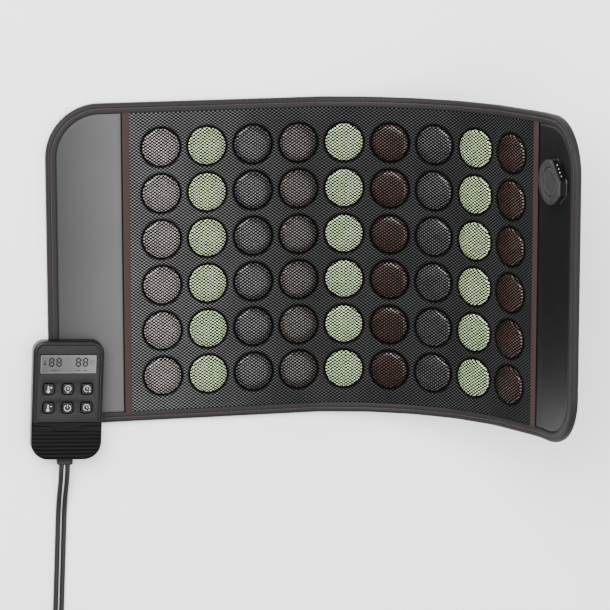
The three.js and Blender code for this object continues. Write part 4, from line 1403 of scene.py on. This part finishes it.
def make_case():
    """Two hollow shells: the case's outline drawn in by steps, (inset, height) pairs, up the outside
    and down the inside, with screw wells in the rear and openings in the front."""
    rear = Shell()
    wall = [(5.0, 0.0), (3.2, 0.35), (1.7, 1.2), (0.6, 2.6), (0.1, 4.2), (0.0, 5.5),
            (0.0, SPLIT - 0.35), (0.3, SPLIT - 0.05)]
    inner = [(WALL - 0.2, SPLIT - 0.05), (WALL, SPLIT - 0.4), (WALL, 5.0), (3.2, 2.8), (5.2, WALL)]
    outside = [rear.loop(level(case_outline(inset), z)) for inset, z in wall]
    inside = [rear.loop(level(case_outline(inset), z)) for inset, z in inner]
    rear.bands(*outside, *inside)
    wells_low, wells_high = [], []
    turn = np.radians(np.arange(0, 360, 15))
    ring = np.column_stack([np.cos(turn), np.sin(turn)])
    for at in SCREWS:
        steps = [(1.9, WALL), (1.9, 1.1), (3.1, 1.1), (3.1, 0.2), (3.3, 0.0)]
        loops = [rear.loop(level(ring * r + at, z)) for r, z in steps]
        rear.bands(*loops)
        wells_high.append(loops[0])
        wells_low.append(loops[-1])
    rear.plate(outside[0], wells_low, up=False)
    rear.plate(inside[-1], wells_high, up=True)
    on_body(rear.piece("rear_case_shell", case_black), "controller", ["rear_case"])

    front = Shell()
    turn = np.radians(np.linspace(0, 90, 8))
    rim = [(RIM_WIDTH * (1 - math.cos(a)), SHOULDER + (RIM - SHOULDER) * math.sin(a)) for a in turn]
    wall = [(0.3, SPLIT + 0.3), (0.0, SPLIT + 0.6), *rim, (3.8, 17.85), (4.0, 17.5), (4.05, RECESS)]
    inner = [(4.4, RECESS - 1.2), (WALL, RECESS - 2.6), (WALL, SPLIT + 0.6), (WALL - 0.3, SPLIT + 0.3)]
    outside = [front.loop(cut_for_grip(level(case_outline(inset), z))) for inset, z in wall]
    inside = [front.loop(level(case_outline(inset), z)) for inset, z in inner]
    front.bands(*outside)
    front.bands(*inside, outside[0])
    holes_high, holes_low = [], []
    openings = [((0.0, LCD_Y), 60.8, 20.3, 0.8)]
    openings += [((x, y), 13.0, 13.0, 3.5) for x in KEY_X for y in KEY_Y]
    for centre, width, length, radius in openings:
        high = front.loop(rounded_hole(centre, width, length, radius, RECESS))
        low = front.loop(rounded_hole(centre, width, length, radius, RECESS - 1.2))
        front.bands(high, low)
        holes_high.append(high)
        holes_low.append(low)
    # The floor's outer loop sinks with the rim below the grip line, so it is a flat plate only in plan
    front.plate(outside[-1], holes_high, up=True)
    front.plate(inside[0], holes_low, up=False)
    on_body(front.piece("front_case_rim", case_black), "controller", ["front_case"])


def make_face_plate():
    """Set into the rim, with rounded openings for the display and the keys."""
    plate = Shell()
    border = 4.5
    width, top, bottom = CASE_WIDTH - 2 * border, CASE_LENGTH / 2 - border, GRIP_TOP + 0.25

    def outline(inset, z):
        """The plate's outline drawn in, at one height."""
        length = top - bottom - 2 * inset
        flat = rounded_rectangle(width - 2 * inset, length, CASE_TOP_R - border - inset, 3.2 - inset, 10)
        return plate.loop(level(flat + (0.0, (top + bottom) / 2), z))

    outside = [outline(0.0, RECESS + 0.05), outline(0.0, 17.35), outline(0.12, 17.55), outline(0.45, 17.65)]
    plate.bands(*outside)
    highs, lows = [], []
    openings = [((0.0, LCD_Y), 60.6, 20.1, 0.6)]
    openings += [((x, y), 13.2, 13.2, 3.6) for x in KEY_X for y in KEY_Y]
    for centre, w, l, r in openings:
        steps = [(0.9, 17.65), (0.35, 17.5), (0.0, 17.2), (0.0, RECESS + 0.05)]
        loops = [plate.loop(rounded_hole(centre, w + grow, l + grow, r + grow / 2, z)) for grow, z in steps]
        plate.bands(*loops)
        highs.append(loops[0])
        lows.append(loops[-1])
    plate.plate(outside[-1], highs, up=True)
    plate.plate(outside[0], lows, up=False)
    on_body(plate.piece("face_plate", plate_grey), "controller", ["front_case"])


def grip_height(x, y, d):
    """Top of the grip: the case's rounded rim, then a smooth band above a line that dips in the
    middle, and below that line ribs with round crests. d is the distance in from the outline."""
    rim = SHOULDER + (RIM - SHOULDER) * np.sqrt(1 - (1 - np.clip(d / RIM_WIDTH, 0, 1)) ** 2)
    dip = np.clip((17.0 - np.abs(x)) / 4.5, 0, 1)
    line = -28.0 - 5.7 * dip
    below = smooth_step((line - y) / 0.5)
    groove = 0.5 * np.exp(-((y - line + 0.1) / 0.45) ** 2)
    phase = (y + 34.0) / 4.1
    ribbed = (y < -33.9) & (y > -62.4)
    crest = np.abs(np.cos(math.pi * (phase - 0.39))) ** 0.8
    ribs = np.where(ribbed, 0.75 * crest, 0.55)
    return rim - below * (0.75 - ribs) * smooth_step(d / 2.5) - groove * smooth_step(d / 1.5)


def make_grip():
    """The grip cover: grip_height over a grid that narrows with the case's lower corners, where half
    the width is the straight part + sqrt(r^2 - reach^2)."""
    inset = 0.45
    bottom = -CASE_LENGTH / 2 + inset
    r = CASE_BOTTOM_R - inset
    low = bottom + r * (1 - np.cos(np.linspace(0, math.pi / 2, 26)))
    y = np.unique(np.concatenate([low, np.arange(bottom + 0.3, GRIP_TOP - 0.2, 0.34), [GRIP_TOP - 0.2]]))
    reach = np.clip(bottom + r - y, 0, r)
    half = CASE_WIDTH / 2 - CASE_BOTTOM_R + np.sqrt(np.maximum(r ** 2 - reach ** 2, 0))
    t = np.sin(np.linspace(-math.pi / 2, math.pi / 2, 61))
    x = half[:, None] * t
    y = np.broadcast_to(y[:, None], x.shape)
    over_x = np.abs(x) - (CASE_WIDTH / 2 - CASE_BOTTOM_R)
    over_y = -(y + CASE_LENGTH / 2 - CASE_BOTTOM_R)
    corner = CASE_BOTTOM_R - np.hypot(np.maximum(over_x, 0), np.maximum(over_y, 0))
    straight = np.minimum(CASE_WIDTH / 2 - np.abs(x), y + CASE_LENGTH / 2)
    d = np.where((over_x > 0) & (over_y > 0), corner, straight)
    top = np.stack([x, y, grip_height(x, y, d)], 2)
    under = np.stack([x, y, np.full_like(x, SHOULDER)], 2)
    cover = on_case([slab(top, under, np.stack([x, y], 2))])
    rigid("grip_cover_ribbed", cover, grip_black, "controller", ["grip_cover"])


def stroke(points, width, z0, z1):
    """A flat bar of even width along a line, as a closed thin solid."""
    points = np.asarray(points, float)
    ahead = np.gradient(points, axis=0)
    ahead /= np.linalg.norm(ahead, axis=1)[:, None]
    side = np.column_stack([-ahead[:, 1], ahead[:, 0]]) * width / 2
    left, right = points + side, points - side
    loops = np.stack([level(right, z0), level(right, z1), level(left, z1), level(left, z0)], 1)
    return swept(loops, np.arange(float(len(points))), np.arange(5.0))


def arc(centre, r, start, end, steps=24):
    """Points of a circle between two angles in degrees."""
    a = np.radians(np.linspace(start, end, steps))
    return np.asarray(centre) + r * np.column_stack([np.cos(a), np.sin(a)])


def dot(centre, r, z0, z1):
    """A flat disc."""
    return lathe([(0.05, z1), (r, z1), (r, z0), (0.05, z0)], centre, 16)


def thermometer(x, y, z0, z1, size=1.0):
    """A bulb with a bar above it."""
    return [dot((x, y - 1.9 * size), 1.3 * size, z0, z1),
            stroke([(x, y - 1.4 * size), (x, y + 2.7 * size)], 1.05 * size, z0, z1)]


def clock(x, y, z0, z1, size=1.0):
    """An open ring with two hands."""
    return [stroke(arc((x, y), 2.5 * size, -20, 280), 0.45 * size, z0, z1),
            stroke([(x, y + 1.4 * size), (x, y), (x + size, y - 0.6 * size)], 0.42 * size, z0, z1)]


def key_icon(name, x, y):
    """Plain signs printed on the keys."""
    z0, z1, line = 18.1, 18.32, 0.55

    def bar(*corners):
        """A printed line through corners given from the key's middle."""
        return stroke([(x + a, y + b) for a, b in corners], line, z0, z1)

    if name in ("key_warmer", "key_cooler"):
        parts = thermometer(x - 0.6, y, z0, z1, 1.25) + [bar((1.3, 1.6), (3.7, 1.6))]
        return parts + ([bar((2.5, 0.4), (2.5, 2.8))] if name == "key_warmer" else [])
    if name == "key_lamp":
        ring = stroke(arc((x, y + 0.7), 3.2, -50, 230), line, z0, z1)
        bulb = dot((x, y + 0.7), 0.9, z0, z1)
        return [ring, bulb, bar((-1.5, -2.7), (1.5, -2.7)), bar((-0.9, -3.9), (0.9, -3.9))]
    if name == "key_power":
        return [stroke(arc((x, y - 0.2), 3.4, 122, 418), 0.6, z0, z1), bar((0.0, -0.4), (0.0, 3.7))]
    parts = clock(x, y + 0.3, z0, z1, 1.3) + [bar((1.9, -2.6), (4.1, -2.6))]
    return parts + ([bar((3.0, -3.7), (3.0, -1.5))] if name == "key_longer" else [])


def on_case(parts):
    """Parts made in the controller's own directions, joined and carried to their place."""
    points, faces, uvs = joined(parts)
    return to_case(points), faces, uvs


def make_keys():
    """Each key is a rounded square, 12 mm a side, drawn in by steps, (inset, height) pairs, to a
    rounded shoulder and a slightly dished top."""
    names = ["key_warmer", "key_cooler", "key_lamp", "key_power", "key_longer", "key_shorter"]
    steps = [(0.0, 13.2), (0.0, 17.7), (0.12, 18.05), (0.45, 18.3), (0.9, 18.38), (1.8, 18.3),
             (3.4, 18.2), (5.0, 18.16)]
    for k, name in enumerate(names):
        x, y = KEY_X[k // 2], KEY_Y[k % 2]
        rings = np.array([rounded_hole((x, y), 12 - 2 * inset, 12 - 2 * inset, max(3.0 - 0.7 * inset, 0.4), z)
                          for inset, z in steps])
        cap = on_case([swept(rings, np.arange(8.0), np.linspace(0, 44, rings.shape[1] + 1))])
        rigid(f"{name}_cap", cap, key_black, name, [name])
        rigid(f"{name}_icon", on_case(key_icon(name, x, y)), print_white, name)


def make_display():
    """The pane, a thin grey strip round it for a painted highlight along its edge, and four seven-segment
    figures with the signs beside them.
    """
    pane = rounded_box((-30.0, LCD_Y - 9.75, 16.3), (30.0, LCD_Y + 9.75, 17.5), 0.35)
    rigid("display_pane", on_case([pane]), display, "controller", ["lcd_window"])
    z0, z1 = 17.4, 17.56
    width, height, bar = 4.3, 8.4, 1.6
    parts = thermometer(-25.4, LCD_Y + 2.0, z0, z1, 0.9) + clock(25.6, LCD_Y + 1.8, z0, z1, 0.9)
    for x in (-18.2, -10.3, 10.6, 18.2):
        for row in (-1, 0, 1):
            y = LCD_Y + 2.2 + row * height / 2
            parts.append(stroke([(x - width / 2 + 0.5, y), (x + width / 2 - 0.5, y)], bar, z0, z1))
            if row:
                mid = LCD_Y + 2.2 + row * height / 4
                reach = height / 4 - 0.5
                for end in (x - width / 2, x + width / 2):
                    parts.append(stroke([(end, mid - reach), (end, mid + reach)], bar, z0, z1))
    for x, reach in ((-14.2, 4.6), (10.6, 2.2), (18.2, 1.6)):
        parts.append(stroke([(x - reach, LCD_Y - 6.6), (x + reach, LCD_Y - 6.6)], 0.7, z0, z1))
    # The strip of painted highlight round the pane
    half_w, half_l = 29.6, 9.4
    corners = [(-half_w, -half_l), (half_w, -half_l), (half_w, half_l), (-half_w, half_l), (-half_w, -half_l)]
    sides = [stroke([p, q], 0.55, z0, z1 + 0.02) for p, q in zip(corners[:-1], corners[1:])]
    sides = on_case([(side[0] + np.array([0.0, LCD_Y, 0.0]), *side[1:]) for side in sides])
    rigid("display_painted_edge_highlight", sides, painted_edge_highlight, "controller")
    rigid("display_segments", on_case(parts), print_dark, "controller")


def make_relief():
    """The strain relief: a rounded block carried along Y, grooved and slightly tapered outside."""
    steps = np.array([(-54.8, 0.97), (-55.2, 1.0), (-65.6, 1.0), (-66.3, 0.99), (-66.6, 0.93),
                      (-67.3, 0.93), (-67.6, 0.985), (-68.4, 0.98), (-68.7, 0.92), (-69.4, 0.92),
                      (-69.7, 0.965), (-71.3, 0.94), (-71.8, 0.9), (-72.0, 0.84)])
    flat = rounded_rectangle(18.0, 8.0, 2.6)
    y, size = steps[:, :1], steps[:, 1:]
    level_y = np.broadcast_to(y, (len(y), len(flat)))
    loops = np.stack([flat[:, 0] * size, level_y, SPLIT + flat[:, 1] * size], 2)
    block = on_case([swept(loops, steps[:, 0], girth(flat))])
    rigid("strain_relief_block", block, relief_rubber, "controller", ["strain_relief"])


def make_screws():
    """Lathed screws, heads down in the rear case's wells."""
    profile = [(0.2, 1.0), (1.15, 1.0), (1.2, 0.35), (2.5, 0.25), (2.8, 0.45), (2.8, 0.95), (1.5, 1.05),
               (1.5, 8.6), (0.2, 8.9)]
    for k, at in enumerate(SCREWS, start=1):
        screw = on_case([lathe(profile, at, 24)])
        rigid(f"case_screw_head_{k}", screw, steel, "controller", [f"case_screw_{k}"])


def finish_nodes(finish, *names):
    """A CAD node that stays gets its own finish."""
    for name in names:
        data = frame["nodes"][name].data
        data.materials.clear()
        data.materials.append(finish.material)


make_case()
make_face_plate()
make_grip()
make_keys()
make_display()
make_relief()
make_screws()
finish_nodes(board_green, "circuit_board")
finish_nodes(relief_rubber, "key_membrane")
finish_nodes(socket_grey, "lcd_panel")
